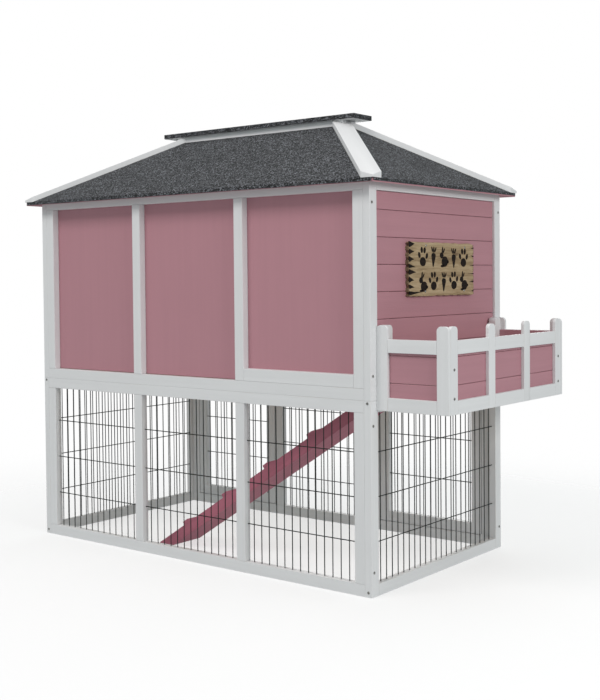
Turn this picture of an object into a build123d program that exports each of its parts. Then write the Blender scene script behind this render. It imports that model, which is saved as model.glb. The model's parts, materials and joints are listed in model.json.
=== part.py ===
from build123d import *

import os
from math import cos, radians, sin, tan

os.makedirs("parts", exist_ok=True)

# ---------------------------------------------------------------------------
# A two-storey rabbit hutch: an open-bottomed wire run below, a boarded house
# above it, a truncated hip roof, and a shallow balcony on the right-hand end.
# Millimetres. X runs along the hutch, -Y is the plain long side, +Y the side
# with the doors, Z is up and 0 is the ground.
# ---------------------------------------------------------------------------

# Driving dimensions
house_length = 1200
house_depth = 636
split_z = 470
wall_top = 1004
timber_t = 20
stile_w = 30
rail_h = 29
top_rail_h = 32
joint_gap = 0.2
post_offsets = (-195, 185)
eave = 32
hip_proud = 3
roof_pitch = 29.2
roof_board_t = 7
felt_t = 3
balcony_reach = 200
screw_head_t = 1.2

# The origin is on the ground under the middle of the whole hutch, from the
# left tip of the roof to the screw heads on the balcony's outer face.
house_x = (eave + hip_proud - balcony_reach - screw_head_t) / 2
left_x = house_x - house_length / 2
right_x = house_x + house_length / 2
front_y = -house_depth / 2
rear_y = house_depth / 2

# Inner faces of the four walls
inner_left = left_x + timber_t
inner_right = right_x - timber_t
inner_front = front_y + timber_t
inner_rear = rear_y - timber_t

# The four posts of a long frame, left to right, as (low X, high X)
posts = [
    (inner_left, inner_left + stile_w),
    (house_x + post_offsets[0] - stile_w / 2, house_x + post_offsets[0] + stile_w / 2),
    (house_x + post_offsets[1] - stile_w / 2, house_x + post_offsets[1] + stile_w / 2),
    (inner_right - stile_w, inner_right),
]
bays = [(posts[i][1], posts[i + 1][0]) for i in range(3)]

# Heights of the rails, as (low Z, high Z)
run_bottom_rail = (0, rail_h)
run_top_rail = (split_z - rail_h, split_z)
house_bottom_rail = (split_z, split_z + rail_h)
house_top_rail = (wall_top - top_rail_h, wall_top)
floor_top = split_z + rail_h

# Long frames and end frames, as (low, high) across their thickness
front_wall = (front_y, inner_front)
rear_wall = (inner_rear, rear_y)
left_wall = (left_x, inner_left)
right_wall = (inner_right, right_x)


def bar(x, y, z):
    """A straight piece of timber between two X, two Y and two Z values."""
    with Locations(((x[0] + x[1]) / 2, (y[0] + y[1]) / 2, (z[0] + z[1]) / 2)):
        Box(x[1] - x[0], y[1] - y[0], z[1] - z[0])


def between(low, high):
    """The height of an upright that fits between two rails, less the joints."""
    return (low[1] + joint_gap, high[0] - joint_gap)


# ---------------------------------------------------------------------------
# Frames of the run
# ---------------------------------------------------------------------------
run_post_z = between(run_bottom_rail, run_top_rail)

with BuildPart() as run_front_rails:
    bar((inner_left, inner_right), front_wall, run_bottom_rail)
    bar((inner_left, inner_right), front_wall, run_top_rail)
run_front_rails.part.label = "run_front_rails"
export_step(run_front_rails.part, "parts/run_front_rails.step")

with BuildPart() as run_front_posts:
    for post in posts:
        bar(post, front_wall, run_post_z)
run_front_posts.part.label = "run_front_posts"
export_step(run_front_posts.part, "parts/run_front_posts.step")

with BuildPart() as run_rear_rails:
    bar((inner_left, inner_right), rear_wall, run_bottom_rail)
    bar((inner_left, inner_right), rear_wall, run_top_rail)
run_rear_rails.part.label = "run_rear_rails"
export_step(run_rear_rails.part, "parts/run_rear_rails.step")

with BuildPart() as run_rear_posts:
    for post in posts:
        bar(post, rear_wall, run_post_z)
run_rear_posts.part.label = "run_rear_posts"
export_step(run_rear_posts.part, "parts/run_rear_posts.step")

end_rail_y = (front_y + stile_w + joint_gap, rear_y - stile_w - joint_gap)

with BuildPart() as run_end_frames:
    for wall in (left_wall, right_wall):
        bar(wall, (front_y, front_y + stile_w), (0, split_z))
        bar(wall, (rear_y - stile_w, rear_y), (0, split_z))
        bar(wall, end_rail_y, run_bottom_rail)
        bar(wall, end_rail_y, run_top_rail)
run_end_frames.part.label = "run_end_frames"
export_step(run_end_frames.part, "parts/run_end_frames.step")

# ---------------------------------------------------------------------------
# Welded wire mesh: a panel in each opening, halfway through the frame
# ---------------------------------------------------------------------------
wire_d = 2.6
wire_pitch = 25.4
row_pitch = 108.5
door_row_pitch = 120
bay_wires = 13
end_wires = 22
door_wires = 11
wire_rows = 3
door_rows = 2
mesh_gap = 0.3
mesh_inset = (timber_t - wire_d) / 2
mesh_z = (run_bottom_rail[1], run_top_rail[0])
end_opening_y = (front_y + stile_w, rear_y - stile_w)


def welded_mesh(across, heights, plane_at, columns, rows, pitch=row_pitch):
    """A panel in an opening: across and heights are the opening's low and high edges.

    plane_at gives the sketch plane for the opening's middle, as a function of the
    middle's place across and its height."""
    width = across[1] - across[0] - 2 * mesh_gap
    height = heights[1] - heights[0] - 2 * mesh_gap
    with BuildPart() as mesh:
        with BuildSketch(plane_at(sum(across) / 2, sum(heights) / 2)):
            with GridLocations(wire_pitch, 0, columns, 1):
                Rectangle(wire_d, height)
            with GridLocations(0, pitch, 1, rows):
                Rectangle(width, wire_d)
        extrude(amount=wire_d)
    return mesh.part


def front_plane(x, z):
    """The outer face of a panel in the front frame, facing inwards."""
    return Plane((x, front_y + mesh_inset, z), x_dir=(1, 0, 0), z_dir=(0, 1, 0))


def rear_plane(x, z):
    """The inner face of a panel in the rear frame, facing outwards."""
    return Plane((x, inner_rear + mesh_inset, z), x_dir=(1, 0, 0), z_dir=(0, 1, 0))


with BuildPart() as run_front_mesh:
    for bay in bays:
        add(welded_mesh(bay, mesh_z, front_plane, bay_wires, wire_rows))
run_front_mesh.part.label = "run_front_mesh"
export_step(run_front_mesh.part, "parts/run_front_mesh.step")

with BuildPart() as run_rear_mesh:
    add(welded_mesh(bays[1], mesh_z, rear_plane, bay_wires, wire_rows))
run_rear_mesh.part.label = "run_rear_mesh"
export_step(run_rear_mesh.part, "parts/run_rear_mesh.step")

for side, wall in (("left", left_wall), ("right", right_wall)):

    def end_plane(y, z):
        """One face of a panel in this end frame, facing the other."""
        return Plane((wall[0] + mesh_inset, y, z), x_dir=(0, 1, 0), z_dir=(1, 0, 0))

    with BuildPart() as run_end_mesh:
        add(welded_mesh(end_opening_y, mesh_z, end_plane, end_wires, wire_rows))
    run_end_mesh.part.label = f"run_{side}_end_mesh"
    export_step(run_end_mesh.part, f"parts/run_{side}_end_mesh.step")

# ---------------------------------------------------------------------------
# Frames and walls of the house
# ---------------------------------------------------------------------------
sill_top = 531
house_post_z = between(house_bottom_rail, house_top_rail)

with BuildPart() as house_front_rails:
    bar((inner_left, inner_right), front_wall, house_bottom_rail)
    bar((inner_left, inner_right), front_wall, house_top_rail)
    bar((bays[2][0] + joint_gap, bays[2][1] - joint_gap), front_wall, (floor_top + joint_gap, sill_top))
house_front_rails.part.label = "house_front_rails"
export_step(house_front_rails.part, "parts/house_front_rails.step")

with BuildPart() as house_front_posts:
    for post in posts:
        bar(post, front_wall, house_post_z)
house_front_posts.part.label = "house_front_posts"
export_step(house_front_posts.part, "parts/house_front_posts.step")

# Plywood panels lie behind the front frame, edge to edge on the posts' centres.
panel_t = 6
panel_margin = 2
panel_edges = [
    inner_left + panel_margin,
    house_x + post_offsets[0],
    house_x + post_offsets[1],
    inner_right - panel_margin,
]
panel_z = (floor_top + 1, wall_top - panel_margin)

with BuildPart() as house_front_panels:
    for i in range(3):
        panel_x = (panel_edges[i] + joint_gap, panel_edges[i + 1] - joint_gap)
        bar(panel_x, (inner_front, inner_front + panel_t), panel_z)
house_front_panels.part.label = "house_front_panels"
export_step(house_front_panels.part, "parts/house_front_panels.step")

# Behind the doors the tray slides out over the bottom rail, under a slot rail
# that spans the left and middle bays.
tray_slot_h = 36
slot_rail = (floor_top + tray_slot_h, floor_top + tray_slot_h + rail_h)

with BuildPart() as house_rear_rails:
    bar((inner_left, inner_right), rear_wall, house_bottom_rail)
    bar((inner_left, inner_right), rear_wall, house_top_rail)
    bar((bays[0][0] + joint_gap, bays[1][1] - joint_gap), rear_wall, slot_rail)
house_rear_rails.part.label = "house_rear_rails"
export_step(house_rear_rails.part, "parts/house_rear_rails.step")

with BuildPart() as house_rear_posts:
    bar(posts[0], rear_wall, house_post_z)
    bar(posts[1], rear_wall, between(slot_rail, house_top_rail))
    bar(posts[2], rear_wall, house_post_z)
    bar(posts[3], rear_wall, house_post_z)
house_rear_posts.part.label = "house_rear_posts"
export_step(house_rear_posts.part, "parts/house_rear_posts.step")

with BuildPart() as house_rear_mesh:
    add(welded_mesh(bays[1], (slot_rail[1], house_top_rail[0]), rear_plane, bay_wires, wire_rows))
house_rear_mesh.part.label = "house_rear_mesh"
export_step(house_rear_mesh.part, "parts/house_rear_mesh.step")

with BuildPart() as house_end_frames:
    for wall in (left_wall, right_wall):
        bar(wall, (front_y, front_y + stile_w), (split_z, wall_top))
        bar(wall, (rear_y - stile_w, rear_y), (split_z, wall_top))
        bar(wall, end_rail_y, house_bottom_rail)
        bar(wall, end_rail_y, house_top_rail)
house_end_frames.part.label = "house_end_frames"
export_step(house_end_frames.part, "parts/house_end_frames.step")

# Horizontal tongue-and-groove boards fill the end frames, set back a little.
board_t = 8
board_pitch = 66
board_joint_z = 597
board_gap = 0.8
end_board_recess = 6
least_board = 8


def board_heights(low, high, joint):
    """Each board's low and high Z, from one known joint and the pitch."""
    joints = [joint + board_pitch * n for n in range(-8, 9)]
    edges = [low] + [z for z in joints if low + least_board < z < high - least_board] + [high]
    return [(a + board_gap / 2, b - board_gap / 2) for a, b in zip(edges, edges[1:])]


with BuildPart() as house_end_boards:
    left_boards = (left_x + end_board_recess, left_x + end_board_recess + board_t)
    right_boards = (right_x - end_board_recess - board_t, right_x - end_board_recess)
    for boards_x in (left_boards, right_boards):
        for board_z in board_heights(floor_top, house_top_rail[0], board_joint_z):
            bar(boards_x, end_rail_y, board_z)
house_end_boards.part.label = "house_end_boards"
export_step(house_end_boards.part, "parts/house_end_boards.step")

# ---------------------------------------------------------------------------
# Floor of the house, with the ramp's hole near the front right corner
# ---------------------------------------------------------------------------
floor_t = 12
bearer_w = 20
bearer_h = 30
bearer_z = (floor_top - floor_t - bearer_h, floor_top - floor_t)
floor_clear = 0.5
hole_x = (house_x + 200, right_x - 61)
hole_y = (-236, -82)
hole_corner_r = 12

with BuildPart() as floor_bearers:
    bearer_x = (inner_left + joint_gap, inner_right - joint_gap)
    bar(bearer_x, (inner_front + joint_gap, inner_front + bearer_w), bearer_z)
    bar(bearer_x, (inner_rear - bearer_w, inner_rear - joint_gap), bearer_z)
    cross_y = (inner_front + bearer_w + joint_gap, inner_rear - bearer_w - joint_gap)
    bar((inner_left + joint_gap, inner_left + bearer_w), cross_y, bearer_z)
    bar((inner_right - bearer_w, inner_right - joint_gap), cross_y, bearer_z)
    middle_x = (inner_left + bearer_w + joint_gap, inner_right - bearer_w - joint_gap)
    bar(middle_x, (hole_y[1] + 4, hole_y[1] + 4 + bearer_w), bearer_z)
floor_bearers.part.label = "floor_bearers"
export_step(floor_bearers.part, "parts/floor_bearers.step")

with BuildPart() as house_floor:
    bar(
        (inner_left + floor_clear, inner_right - floor_clear),
        (inner_front + floor_clear, inner_rear - floor_clear),
        (floor_top - floor_t, floor_top),
    )
    with BuildSketch(Plane.XY.offset(floor_top)):
        with Locations((sum(hole_x) / 2, sum(hole_y) / 2)):
            RectangleRounded(hole_x[1] - hole_x[0], hole_y[1] - hole_y[0], hole_corner_r)
    extrude(amount=-floor_t, mode=Mode.SUBTRACT)
house_floor.part.label = "house_floor"
export_step(house_floor.part, "parts/house_floor.step")

# ---------------------------------------------------------------------------
# Droppings tray, which slides out to the rear
# ---------------------------------------------------------------------------
tray_wall = 2.5
tray_depth = 25
tray_x = (bays[0][0] + 3, bays[1][1] - 3)
tray_y = (inner_front + panel_t + 8, inner_rear - 0.5)
tray_z = floor_top + 0.5
tray_corner_r = 12
tray_front_z = (tray_z, slot_rail[0] - 1.5)

with BuildPart() as droppings_tray:
    with BuildSketch(Plane.XY.offset(tray_z)):
        with Locations((sum(tray_x) / 2, sum(tray_y) / 2)):
            RectangleRounded(tray_x[1] - tray_x[0], tray_y[1] - tray_y[0], tray_corner_r)
    extrude(amount=tray_depth)
    offset(amount=-tray_wall, openings=droppings_tray.faces().sort_by(Axis.Z)[-1])
droppings_tray.part.label = "droppings_tray"
export_step(droppings_tray.part, "parts/droppings_tray.step")

with BuildPart() as tray_front:
    bar(tray_x, (inner_rear, rear_y), tray_front_z)
    grip_centre = (sum(tray_x) / 2, rear_y, sum(tray_front_z) / 2)
    with BuildSketch(Plane(grip_centre, x_dir=(1, 0, 0), z_dir=(0, 1, 0))):
        SlotOverall(90, 14)
    extrude(amount=-10, mode=Mode.SUBTRACT)
tray_front.part.label = "tray_front"
export_step(tray_front.part, "parts/tray_front.step")

# ---------------------------------------------------------------------------
# Doors on the rear: wire doors in the run, boarded doors in the house
# ---------------------------------------------------------------------------
door_gap = 3
door_lift = 2.5
house_left_door_z = (slot_rail[1] + door_lift, house_top_rail[0] - door_lift)
house_right_door_z = (floor_top + door_lift, house_top_rail[0] - door_lift)
run_door_z = (run_bottom_rail[1] + door_lift, run_top_rail[0] - door_lift)

# Each door: its bay, its height, and +1 or -1 for the way it reaches from its hinges
doors = {
    "run_left_door": (bays[0], run_door_z, 1),
    "run_right_door": (bays[2], run_door_z, -1),
    "house_left_door": (bays[0], house_left_door_z, 1),
    "house_right_door": (bays[2], house_right_door_z, -1),
}

for name, (bay, door_z, reach) in doors.items():
    door_x = (bay[0] + door_gap, bay[1] - door_gap)
    opening_x = (door_x[0] + stile_w, door_x[1] - stile_w)
    opening_z = (door_z[0] + rail_h, door_z[1] - rail_h)
    rail_x = (opening_x[0] + joint_gap, opening_x[1] - joint_gap)

    with BuildPart() as door_frame:
        bar((door_x[0], opening_x[0]), rear_wall, door_z)
        bar((opening_x[1], door_x[1]), rear_wall, door_z)
        bar(rail_x, rear_wall, (door_z[0], opening_z[0]))
        bar(rail_x, rear_wall, (opening_z[1], door_z[1]))
    door_frame.part.label = f"{name}_frame"
    export_step(door_frame.part, f"parts/{name}_frame.step")

    if name.startswith("run"):
        with BuildPart() as door_mesh:
            add(welded_mesh(opening_x, opening_z, rear_plane, door_wires, door_rows, door_row_pitch))
        door_mesh.part.label = f"{name}_mesh"
        export_step(door_mesh.part, f"parts/{name}_mesh.step")
    else:
        boards_y = (rear_y - end_board_recess - board_t, rear_y - end_board_recess)
        with BuildPart() as door_boards:
            for board_z in board_heights(opening_z[0], opening_z[1], board_joint_z):
                bar(rail_x, boards_y, board_z)
        door_boards.part.label = f"{name}_boards"
        export_step(door_boards.part, f"parts/{name}_boards.step")

# ---------------------------------------------------------------------------
# Butt hinges of the doors: two leaves and a pin each
# ---------------------------------------------------------------------------
leaf_t = 1.2
leaf_w = 20
leaf_h = 50
barrel_r = 3
pin_r = 1.5
pin_clearance = 0.05
leaf_relief = barrel_r + 0.3
hinge_inset = 60
fixed_barrels = [(-8, 8)]
moving_barrels = [(-25, -8.4), (8.4, 25)]


def door_hinge_leaf(axis_x, middle_z, side, barrels):
    """A leaf on the frame's outer face, on the side (+1 or -1) of its pin axis."""
    plate_x = sorted((axis_x + side * leaf_relief, axis_x + side * leaf_w))
    tab_x = sorted((axis_x, axis_x + side * leaf_relief))
    leaf_y = (rear_y, rear_y + leaf_t)
    bar(plate_x, leaf_y, (middle_z - leaf_h / 2, middle_z + leaf_h / 2))
    for low, high in barrels:
        bar(tab_x, leaf_y, (middle_z + low, middle_z + high))
        with Locations((axis_x, rear_y + barrel_r, middle_z + (low + high) / 2)):
            Cylinder(barrel_r, high - low)
    with Locations((axis_x, rear_y + barrel_r, middle_z)):
        Cylinder(pin_r + pin_clearance, leaf_h + 2, mode=Mode.SUBTRACT)


def door_hinge_axis(bay, reach):
    """X of the pin, in the middle of the gap at the door's hinged edge."""
    return bay[0] + door_gap / 2 if reach > 0 else bay[1] - door_gap / 2


for name, (bay, door_z, reach) in doors.items():
    with BuildPart() as door_leaves:
        for middle_z in (door_z[0] + hinge_inset, door_z[1] - hinge_inset):
            door_hinge_leaf(door_hinge_axis(bay, reach), middle_z, reach, moving_barrels)
    door_leaves.part.label = f"{name}_hinge_leaves"
    export_step(door_leaves.part, f"parts/{name}_hinge_leaves.step")

# ---------------------------------------------------------------------------
# Ramp, hung from the floor at the hole's right edge, its foot on the ground
# ---------------------------------------------------------------------------
ramp_angle = 32.3
ramp_width = 110
ramp_y = (-214, -104)
ramp_t = 30
ramp_pivot = (right_x - 65, floor_top - floor_t - barrel_r)
ramp_foot_z = 0.5
ramp_start = 12
ramp_bevel = 10
first_cleat = 248
cleat_pitch = 177.5
cleat_h = 10
cleat_top = 20
cleat_length = 55
cleat_count = 4
deck_top = -barrel_r
slope = Vector(-cos(radians(ramp_angle)), 0, -sin(radians(ramp_angle)))


def ramp_plane(y):
    """The ramp's side view at one Y: x runs down the slope, y stands square to it."""
    return Plane((ramp_pivot[0], y, ramp_pivot[1]), x_dir=slope, z_dir=(0, 1, 0))


def along_to_ground(height):
    """How far down the slope a line at this height over the pin meets the foot level."""
    drop = ramp_pivot[1] + height * cos(radians(ramp_angle)) - ramp_foot_z
    return drop / sin(radians(ramp_angle))


with BuildPart() as ramp_deck:
    with BuildSketch(ramp_plane(ramp_y[0])):
        with BuildLine():
            Polyline(
                [
                    (ramp_start - ramp_bevel, deck_top),
                    (along_to_ground(deck_top), deck_top),
                    (along_to_ground(deck_top - ramp_t), deck_top - ramp_t),
                    (ramp_start, deck_top - ramp_t),
                ],
                close=True,
            )
        make_face()
    extrude(amount=ramp_width)
ramp_deck.part.label = "ramp_deck"
export_step(ramp_deck.part, "parts/ramp_deck.step")

with BuildPart() as ramp_cleats:
    for i in range(cleat_count):
        low_end = first_cleat + cleat_pitch * i
        with BuildSketch(ramp_plane(ramp_y[0])):
            with BuildLine():
                Polyline(
                    [
                        (low_end, deck_top),
                        (low_end, deck_top + cleat_h),
                        (low_end - cleat_top, deck_top + cleat_h),
                        (low_end - cleat_length, deck_top),
                    ],
                    close=True,
                )
            make_face()
        extrude(amount=ramp_width)
ramp_cleats.part.label = "ramp_cleats"
export_step(ramp_cleats.part, "parts/ramp_cleats.step")

ramp_leaf_w = 19
ramp_leaf_len = 40
ramp_hinge_ys = (-189, -129)
ramp_fixed_barrel = (-7, 7)
ramp_moving_barrels = [(-20, -7.4), (7.4, 20)]

with BuildPart() as ramp_hinge_leaves:
    for hinge_y in ramp_hinge_ys:
        with BuildSketch(ramp_plane(hinge_y - ramp_leaf_len / 2)):
            with Locations(((leaf_relief + ramp_leaf_w) / 2, deck_top + leaf_t / 2)):
                Rectangle(ramp_leaf_w - leaf_relief, leaf_t)
        extrude(amount=ramp_leaf_len)
        for low, high in ramp_moving_barrels:
            with BuildSketch(ramp_plane(hinge_y + low)):
                Circle(barrel_r)
                with Locations((leaf_relief / 2, deck_top + leaf_t / 2)):
                    Rectangle(leaf_relief, leaf_t)
                Circle(pin_r + pin_clearance, mode=Mode.SUBTRACT)
            extrude(amount=high - low)
ramp_hinge_leaves.part.label = "ramp_hinge_leaves"
export_step(ramp_hinge_leaves.part, "parts/ramp_hinge_leaves.step")

# ---------------------------------------------------------------------------
# Fixed hinge leaves and all hinge pins
# ---------------------------------------------------------------------------
with BuildPart() as hinge_fixed_leaves:
    for bay, door_z, reach in doors.values():
        for middle_z in (door_z[0] + hinge_inset, door_z[1] - hinge_inset):
            door_hinge_leaf(door_hinge_axis(bay, reach), middle_z, -reach, fixed_barrels)
    for hinge_y in ramp_hinge_ys:
        pin_plane = Plane((ramp_pivot[0], hinge_y, ramp_pivot[1]), x_dir=(1, 0, 0), z_dir=(0, 1, 0))
        with BuildSketch(pin_plane.offset(-ramp_leaf_len / 2)):
            with Locations(((leaf_relief + ramp_leaf_w) / 2, -barrel_r + leaf_t / 2)):
                Rectangle(ramp_leaf_w - leaf_relief, leaf_t)
        extrude(amount=ramp_leaf_len)
        with BuildSketch(pin_plane.offset(ramp_fixed_barrel[0])):
            Circle(barrel_r)
            with Locations((leaf_relief / 2, -barrel_r + leaf_t / 2)):
                Rectangle(leaf_relief, leaf_t)
            Circle(pin_r + pin_clearance, mode=Mode.SUBTRACT)
        extrude(amount=ramp_fixed_barrel[1] - ramp_fixed_barrel[0])
hinge_fixed_leaves.part.label = "hinge_fixed_leaves"
export_step(hinge_fixed_leaves.part, "parts/hinge_fixed_leaves.step")

with BuildPart() as hinge_pins:
    for bay, door_z, reach in doors.values():
        for middle_z in (door_z[0] + hinge_inset, door_z[1] - hinge_inset):
            with Locations((door_hinge_axis(bay, reach), rear_y + barrel_r, middle_z)):
                Cylinder(pin_r, leaf_h + 1)
    for hinge_y in ramp_hinge_ys:
        with Locations((ramp_pivot[0], hinge_y, ramp_pivot[1])):
            Cylinder(pin_r, ramp_leaf_len + 1, rotation=(90, 0, 0))
hinge_pins.part.label = "hinge_pins"
export_step(hinge_pins.part, "parts/hinge_pins.step")

# ---------------------------------------------------------------------------
# Turn buttons on the rear posts, one beside each door's free edge
# ---------------------------------------------------------------------------
button_length = 62
button_w = 14
button_t = 8
button_lift = 0.5
button_screw_r = 2
button_head_r = 4.5
button_head_t = 2.5
button_shank = button_lift + button_t + 0.2

with BuildPart() as turn_button_screws:
    for name, (bay, door_z, reach) in doors.items():
        post = posts[1] if reach > 0 else posts[2]
        button_centre = (sum(post) / 2, rear_y, sum(door_z) / 2)
        button_plane = Plane(button_centre, x_dir=(1, 0, 0), z_dir=(0, 1, 0))
        with BuildSketch(button_plane):
            Circle(button_screw_r)
        extrude(amount=button_shank)
        with BuildSketch(button_plane.offset(button_shank)):
            Circle(button_head_r)
        extrude(amount=button_head_t)
turn_button_screws.part.label = "turn_button_screws"
export_step(turn_button_screws.part, "parts/turn_button_screws.step")

for name, (bay, door_z, reach) in doors.items():
    post = posts[1] if reach > 0 else posts[2]
    button_centre = (sum(post) / 2, rear_y + button_lift, sum(door_z) / 2)
    with BuildPart() as turn_button:
        with BuildSketch(Plane(button_centre, x_dir=(0, 0, 1), z_dir=(0, 1, 0))):
            SlotOverall(button_length, button_w)
            Circle(button_screw_r + pin_clearance, mode=Mode.SUBTRACT)
        extrude(amount=button_t)
    button_name = name.replace("door", "turn_button")
    turn_button.part.label = button_name
    export_step(turn_button.part, f"parts/{button_name}.step")

# ---------------------------------------------------------------------------
# Roof: four boards under felt, hip boards, and a flat felted cap on a box
# ---------------------------------------------------------------------------
rise = tan(radians(roof_pitch))
eave_z = wall_top - eave * rise
eave_left_x = left_x - eave
eave_right_x = right_x + eave
eave_y = rear_y + eave
ridge_half_w = 30
hip_run = eave_y - ridge_half_w
ridge_left_x = eave_left_x + hip_run
ridge_right_x = eave_right_x - hip_run
mitre_gap = 0.3
roof_cut_z = eave_z - 40
roof_cut_h = 400
board_drop = roof_board_t / cos(radians(roof_pitch))
felt_drop = felt_t / cos(radians(roof_pitch))


def slope_outline(bottom_z, drop):
    """A slope's section from eave to ridge: (distance in from the eave, Z)."""
    top_run = hip_run - mitre_gap
    return [
        (0, bottom_z),
        (top_run, bottom_z + top_run * rise),
        (top_run, bottom_z + top_run * rise + drop),
        (0, bottom_z + drop),
    ]


def long_slope(side, bottom_z, drop):
    """The front (-1) or rear (+1) slope, mitred at the hips."""
    with BuildPart() as sheet:
        with BuildSketch(Plane.YZ.offset(eave_left_x)):
            with BuildLine():
                outline = slope_outline(bottom_z, drop)
                Polyline([(side * (eave_y - run), z) for run, z in outline], close=True)
            make_face()
        extrude(amount=eave_right_x - eave_left_x)
        with BuildSketch(Plane.XY.offset(roof_cut_z)):
            with BuildLine():
                Polyline(
                    [
                        (eave_left_x + mitre_gap, side * eave_y),
                        (eave_right_x - mitre_gap, side * eave_y),
                        (ridge_right_x - mitre_gap, side * ridge_half_w),
                        (ridge_left_x + mitre_gap, side * ridge_half_w),
                    ],
                    close=True,
                )
            make_face()
        extrude(amount=roof_cut_h, mode=Mode.INTERSECT)
    return sheet.part


def end_slope(side, bottom_z, drop):
    """The left (-1) or right (+1) slope, mitred at the hips."""
    eave_x = eave_right_x if side > 0 else eave_left_x
    ridge_x = ridge_right_x if side > 0 else ridge_left_x
    with BuildPart() as sheet:
        with BuildSketch(Plane.XZ.offset(-eave_y)):
            with BuildLine():
                outline = slope_outline(bottom_z, drop)
                Polyline([(eave_x - side * run, z) for run, z in outline], close=True)
            make_face()
        extrude(amount=2 * eave_y)
        with BuildSketch(Plane.XY.offset(roof_cut_z)):
            with BuildLine():
                Polyline(
                    [
                        (eave_x, -eave_y + mitre_gap),
                        (eave_x, eave_y - mitre_gap),
                        (ridge_x, ridge_half_w - mitre_gap),
                        (ridge_x, -ridge_half_w + mitre_gap),
                    ],
                    close=True,
                )
            make_face()
        extrude(amount=roof_cut_h, mode=Mode.INTERSECT)
    return sheet.part


with BuildPart() as roof_long_boards:
    for side in (-1, 1):
        add(long_slope(side, eave_z, board_drop))
roof_long_boards.part.label = "roof_long_boards"
export_step(roof_long_boards.part, "parts/roof_long_boards.step")

with BuildPart() as roof_end_boards:
    for side in (-1, 1):
        add(end_slope(side, eave_z, board_drop))
roof_end_boards.part.label = "roof_end_boards"
export_step(roof_end_boards.part, "parts/roof_end_boards.step")

with BuildPart() as roof_felt:
    for side in (-1, 1):
        add(long_slope(side, eave_z + board_drop, felt_drop))
        add(end_slope(side, eave_z + board_drop, felt_drop))
roof_felt.part.label = "roof_felt"
export_step(roof_felt.part, "parts/roof_felt.step")

# Ridge box: two long boards and two short ones between them
box_board_t = 12
cap_z = 1191.5
box_z = (1150, cap_z)

with BuildPart() as ridge_box:
    for low_y in (-ridge_half_w, ridge_half_w - box_board_t):
        bar((ridge_left_x, ridge_right_x), (low_y, low_y + box_board_t), box_z)
    inside_y = (-ridge_half_w + box_board_t + joint_gap, ridge_half_w - box_board_t - joint_gap)
    bar((ridge_left_x, ridge_left_x + box_board_t), inside_y, box_z)
    bar((ridge_right_x - box_board_t, ridge_right_x), inside_y, box_z)
ridge_box.part.label = "ridge_box"
export_step(ridge_box.part, "parts/ridge_box.step")

# Ridge cap: a flat board with felt folded over its top and edges
cap_half_l = 358
cap_half_w = 42
cap_board_t = 10

with BuildPart() as ridge_cap_board:
    bar(
        (house_x - cap_half_l + felt_t, house_x + cap_half_l - felt_t),
        (-cap_half_w + felt_t, cap_half_w - felt_t),
        (cap_z, cap_z + cap_board_t),
    )
ridge_cap_board.part.label = "ridge_cap_board"
export_step(ridge_cap_board.part, "parts/ridge_cap_board.step")

with BuildPart() as ridge_cap_felt:
    bar(
        (house_x - cap_half_l, house_x + cap_half_l),
        (-cap_half_w, cap_half_w),
        (cap_z, cap_z + cap_board_t + felt_t),
    )
    add(ridge_cap_board.part, mode=Mode.SUBTRACT)
ridge_cap_felt.part.label = "ridge_cap_felt"
export_step(ridge_cap_felt.part, "parts/ridge_cap_felt.step")

# Hip boards: flat on top, grooved beneath to sit astride two slopes
hip_half_w = 25
hip_edge_t = 15
hip_lift = 0.2
hip_start = 60
hip_length = 600
hip_slope = Vector(-1, 1, rise).normalized()
hip_across = Vector(-1, -1, 0).normalized()
hip_drop = hip_half_w * rise / 2**0.5 * Vector(-1, 1, 0).normalized().dot(hip_slope)


def hip_board(side_x, side_y):
    """The hip board of one corner: side_x and side_y are the corner's signs."""
    corner_z = eave_z + board_drop + felt_drop + hip_lift
    start = Vector(eave_right_x, -eave_y, corner_z) - hip_slope * hip_start
    with BuildPart() as board:
        with BuildSketch(Plane(start, x_dir=hip_across, z_dir=hip_slope)):
            with BuildLine():
                Polyline(
                    [
                        (0, 0),
                        (hip_half_w, -hip_drop),
                        (hip_half_w, hip_edge_t - hip_drop),
                        (-hip_half_w, hip_edge_t - hip_drop),
                        (-hip_half_w, -hip_drop),
                    ],
                    close=True,
                )
            make_face()
        extrude(amount=hip_length)
        with BuildSketch(Plane.XY.offset(roof_cut_z)):
            with BuildLine():
                Polyline(
                    [
                        (eave_right_x + hip_proud, -eave_y - hip_proud),
                        (eave_right_x + hip_proud, -joint_gap),
                        (ridge_right_x + joint_gap, -joint_gap),
                        (ridge_right_x + joint_gap, -ridge_half_w - joint_gap),
                        (ridge_left_x, -ridge_half_w - joint_gap),
                        (ridge_left_x, -eave_y - hip_proud),
                    ],
                    close=True,
                )
            make_face()
        extrude(amount=cap_z - joint_gap - roof_cut_z, mode=Mode.INTERSECT)
        if side_y > 0:
            mirror(about=Plane.XZ, mode=Mode.REPLACE)
        if side_x < 0:
            mirror(about=Plane.YZ.offset(house_x), mode=Mode.REPLACE)
    return board.part


with BuildPart() as hip_boards:
    for side_x in (-1, 1):
        for side_y in (-1, 1):
            add(hip_board(side_x, side_y))
hip_boards.part.label = "hip_boards"
export_step(hip_boards.part, "parts/hip_boards.step")

# ---------------------------------------------------------------------------
# Balcony on the right-hand end
# ---------------------------------------------------------------------------
balcony_half_w = 294
balcony_z = (446, 617)
balcony_post_top = 650
balcony_rail = 32
balcony_post_w = 32
balcony_post_r = 11
balcony_frame_t = 9
balcony_board_t = 8
balcony_posts_y = 91
balcony_x = (right_x, right_x + balcony_reach)
side_face_y = balcony_half_w - balcony_frame_t
front_frame_x = (balcony_x[1] - balcony_frame_t, balcony_x[1])
wall_post_t = 20


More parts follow.
